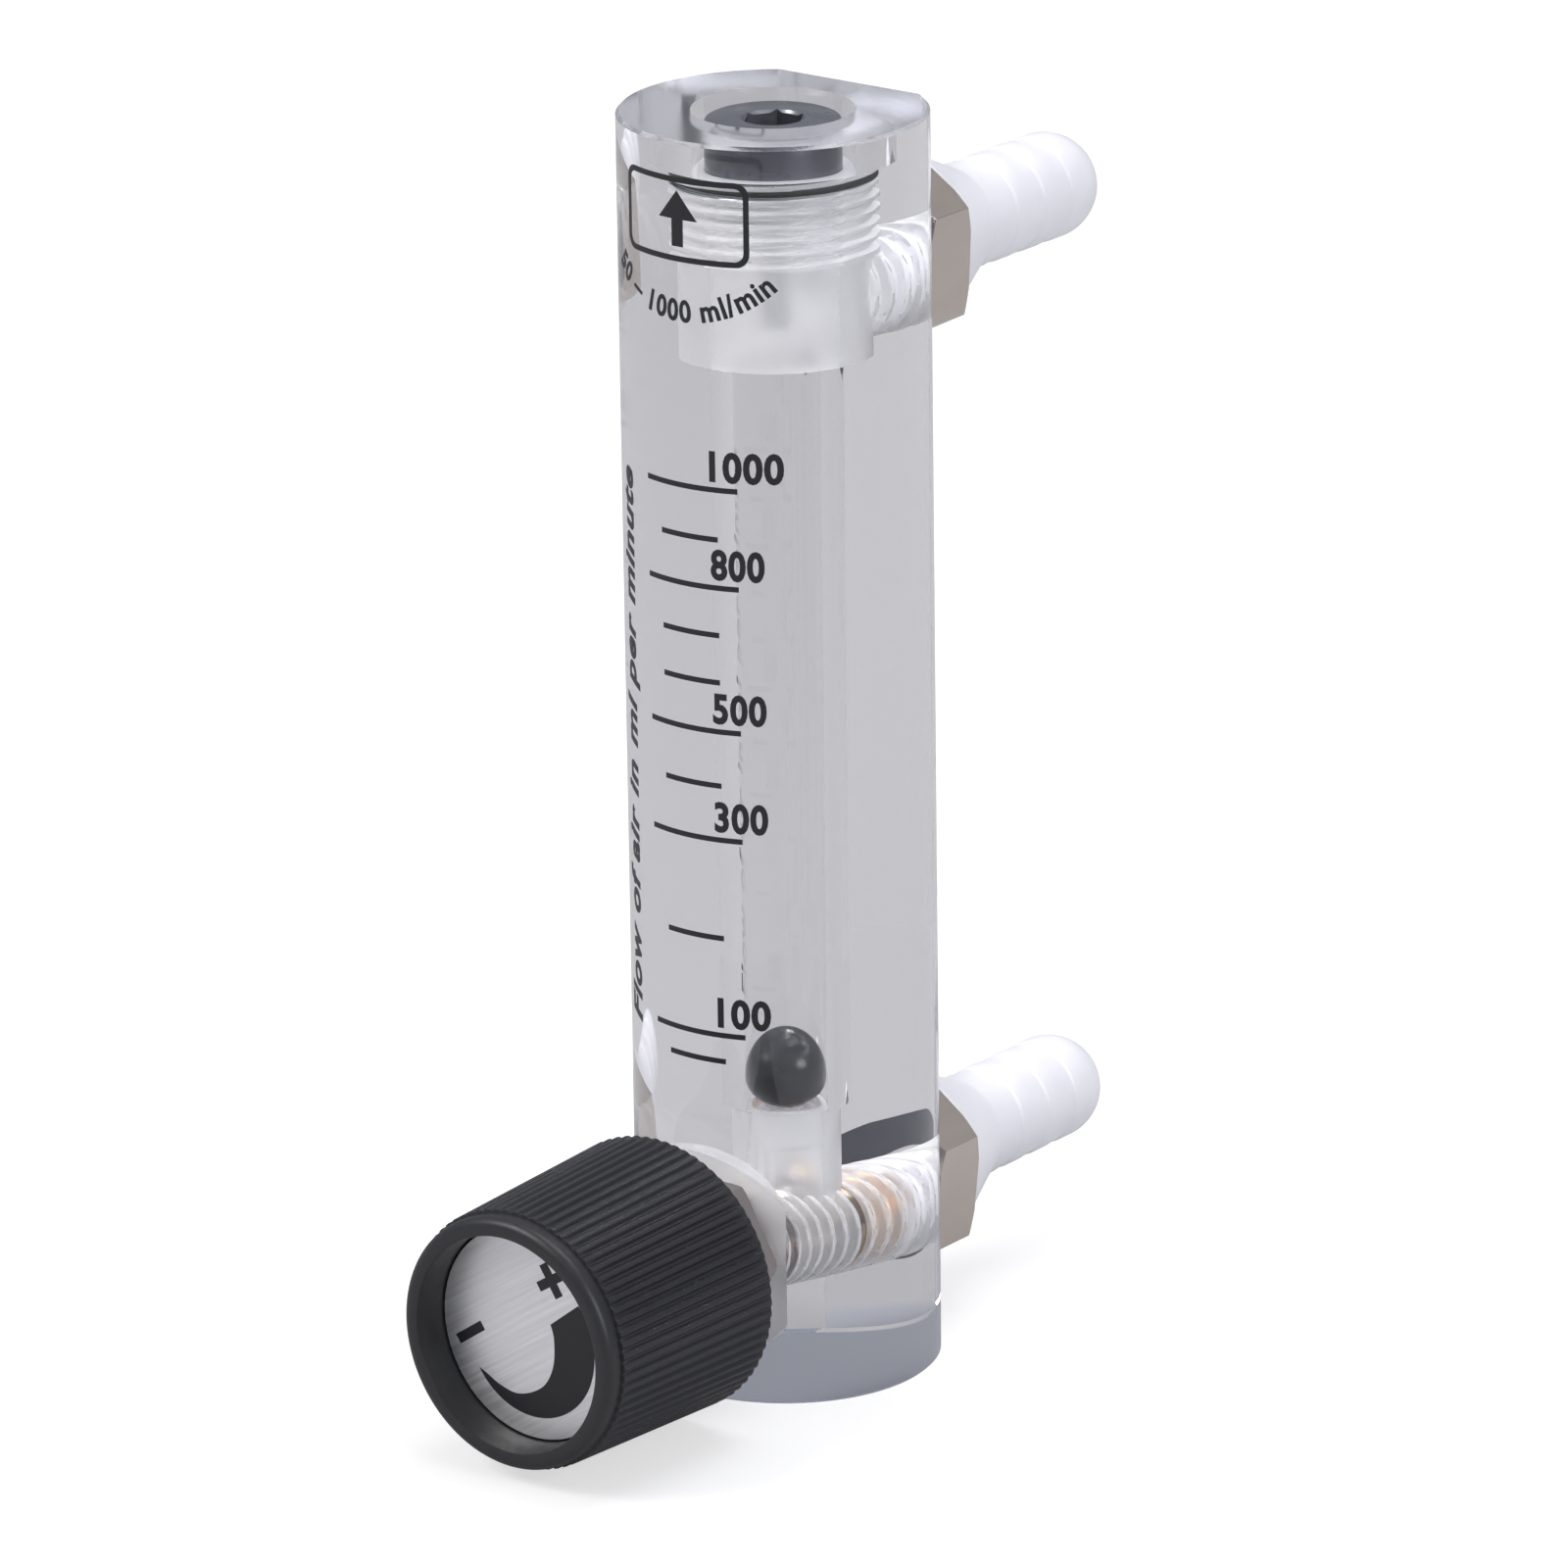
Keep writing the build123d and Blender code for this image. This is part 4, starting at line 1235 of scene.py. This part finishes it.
ticks_tree, ticks_in, ticks_out = new_tree("scale_ticks", ("Thickness",))
bar = ticks_tree.nodes.new("GeometryNodeMeshGrid")
bar.inputs["Size X"].default_value = 1
bar.inputs["Size Y"].default_value = 1
bar.inputs["Vertices X"].default_value = 2
bar.inputs["Vertices Y"].default_value = 2
span = ticks_tree.nodes.new("GeometryNodeInputNamedAttribute")
span.data_type = "FLOAT"
span.inputs["Name"].default_value = "span"
stretch = ticks_tree.nodes.new("ShaderNodeCombineXYZ")
ticks_tree.links.new(span.outputs["Attribute"], stretch.inputs[0])
ticks_tree.links.new(ticks_in.outputs["Thickness"], stretch.inputs[1])
stretch.inputs[2].default_value = 1
spread = ticks_tree.nodes.new("GeometryNodeInstanceOnPoints")
ticks_tree.links.new(ticks_in.outputs["Geometry"], spread.inputs["Points"])
ticks_tree.links.new(bar.outputs["Mesh"], spread.inputs["Instance"])
ticks_tree.links.new(stretch.outputs[0], spread.inputs["Scale"])
finish_tree(ticks_tree, spread.outputs[0], ticks_in, ticks_out)

scale_marks = (
    (1000, 69.7), (900, 66.0), (800, 62.4), (700, 58.85), (600, 55.3), (500, 51.6), (400, 47.5),
    (300, 43.4), (200, 35.9), (100, 28.45), (50, 26.45))
numbered = (1000, 800, 500, 300, 100)
long_tick = (17.7, 22.8)        # degrees to the left and right of the front
short_tick = (10.0, 15.0)
tick_thickness = 0.4
number_height = 2.35
number_lift = 0.55              # above its tick
number_start = 12.0             # degrees, as the widths of a number of four figures and three
number_widths = (28.0, 20.5)
tick_points = bpy.data.meshes.new("tick_points")
tick_ends = [long_tick if flow in numbered else short_tick for flow, height in scale_marks]
tick_points.from_pydata([
    (arc((right - left) / 2), height, 0)
    for (left, right), (flow, height) in zip(tick_ends, scale_marks)], [], [])
spans = tick_points.attributes.new("span", "FLOAT", "POINT")
for index, (left, right) in enumerate(tick_ends):
    spans.data[index].value = arc(right + left)
ticks = run_tree(tick_points, ticks_tree, ink, Thickness=tick_thickness)
piece("scale_ticks", wrapped(ticks), "meter", None, ink)

shape = bmesh.new()
for flow, height in scale_marks:
    if flow in numbered:
        width = arc(number_widths[0] if flow >= 1000 else number_widths[1])
        number = lettering(str(flow), number_height, width, bold=0.036)
        number.transform(Matrix.Translation((arc(number_start), height + number_lift, 0)))
        shape.from_mesh(number)
numbers = bpy.data.meshes.new("numbers")
shape.to_mesh(numbers)
shape.free()
piece("scale_numbers", wrapped(numbers), "meter", None, ink)

legend_foot = 27.4
legend_turn = -26.5
legend_size = (2.7, 42.2)
legend = lettering("Flow of air in ml per minute", *legend_size, bold=0.03, slant=0.25)
legend.transform(
    Matrix.Translation((arc(legend_turn), legend_foot, 0)) @ Matrix.Rotation(math.pi / 2, 4, "Z"))
piece("gas_legend", wrapped(legend), "meter", None, ink)


# Marks above the scale: a frame with an arrow for the way the gas flows, and the range on a
# curved line below it, in the same black ink.
frame_middle = 89.3
frame_half = (5.6, 3.1)
frame_line = 0.42
frame_round = 1.0
frame_outer, frame_inner = [], []
for points, inset in ((frame_outer, 0.0), (frame_inner, frame_line)):
    half_width = frame_half[0] - inset
    half_height = frame_half[1] - inset
    corner_round = frame_round - inset * 0.8
    for quarter in range(4):
        sx = 1 if quarter in (0, 3) else -1
        sy = 1 if quarter in (0, 1) else -1
        for i in range(9):
            angle = math.radians(90 * quarter + 90 * i / 8)
            points.append((
                sx * (half_width - corner_round) + corner_round * math.cos(angle),
                frame_middle + sy * (half_height - corner_round) + corner_round * math.sin(angle)))
shape = bmesh.new()
outer = [shape.verts.new((x, y, 0)) for x, y in frame_outer]
inner = [shape.verts.new((x, y, 0)) for x, y in frame_inner]
for i in range(len(outer)):
    j = (i + 1) % len(outer)
    shape.faces.new((outer[i], outer[j], inner[j], inner[i]))
shaft_half = 0.5
head_half = 1.7
arrow_foot = frame_middle - 2.0
arrow_tip = frame_middle + 2.1
arrow = [
    (-shaft_half, arrow_foot), (shaft_half, arrow_foot), (shaft_half, frame_middle),
    (head_half, frame_middle), (0, arrow_tip), (-head_half, frame_middle), (-shaft_half, frame_middle)]
shape.faces.new([shape.verts.new((x, y, 0)) for x, y in arrow])
flow_mark = bpy.data.meshes.new("flow_mark")
shape.to_mesh(flow_mark)
shape.free()
piece("flow_mark", wrapped(flow_mark), "meter", None, ink)

range_height = 1.7
range_width = 15.4
range_foot = 82.6
bend = 10.8                     # radius of the curved line's middle
range_line = lettering("50 – 1000 ml/min", range_height, range_width, bold=0.03)
for vertex in range_line.vertices:
    angle = (vertex.co.x - range_width / 2) / bend
    reach = bend + range_height / 2 - vertex.co.y
    vertex.co.x = reach * math.sin(angle)
    vertex.co.y = range_foot + bend - reach * math.cos(angle)
piece("range_line", wrapped(range_line), "meter", None, ink)
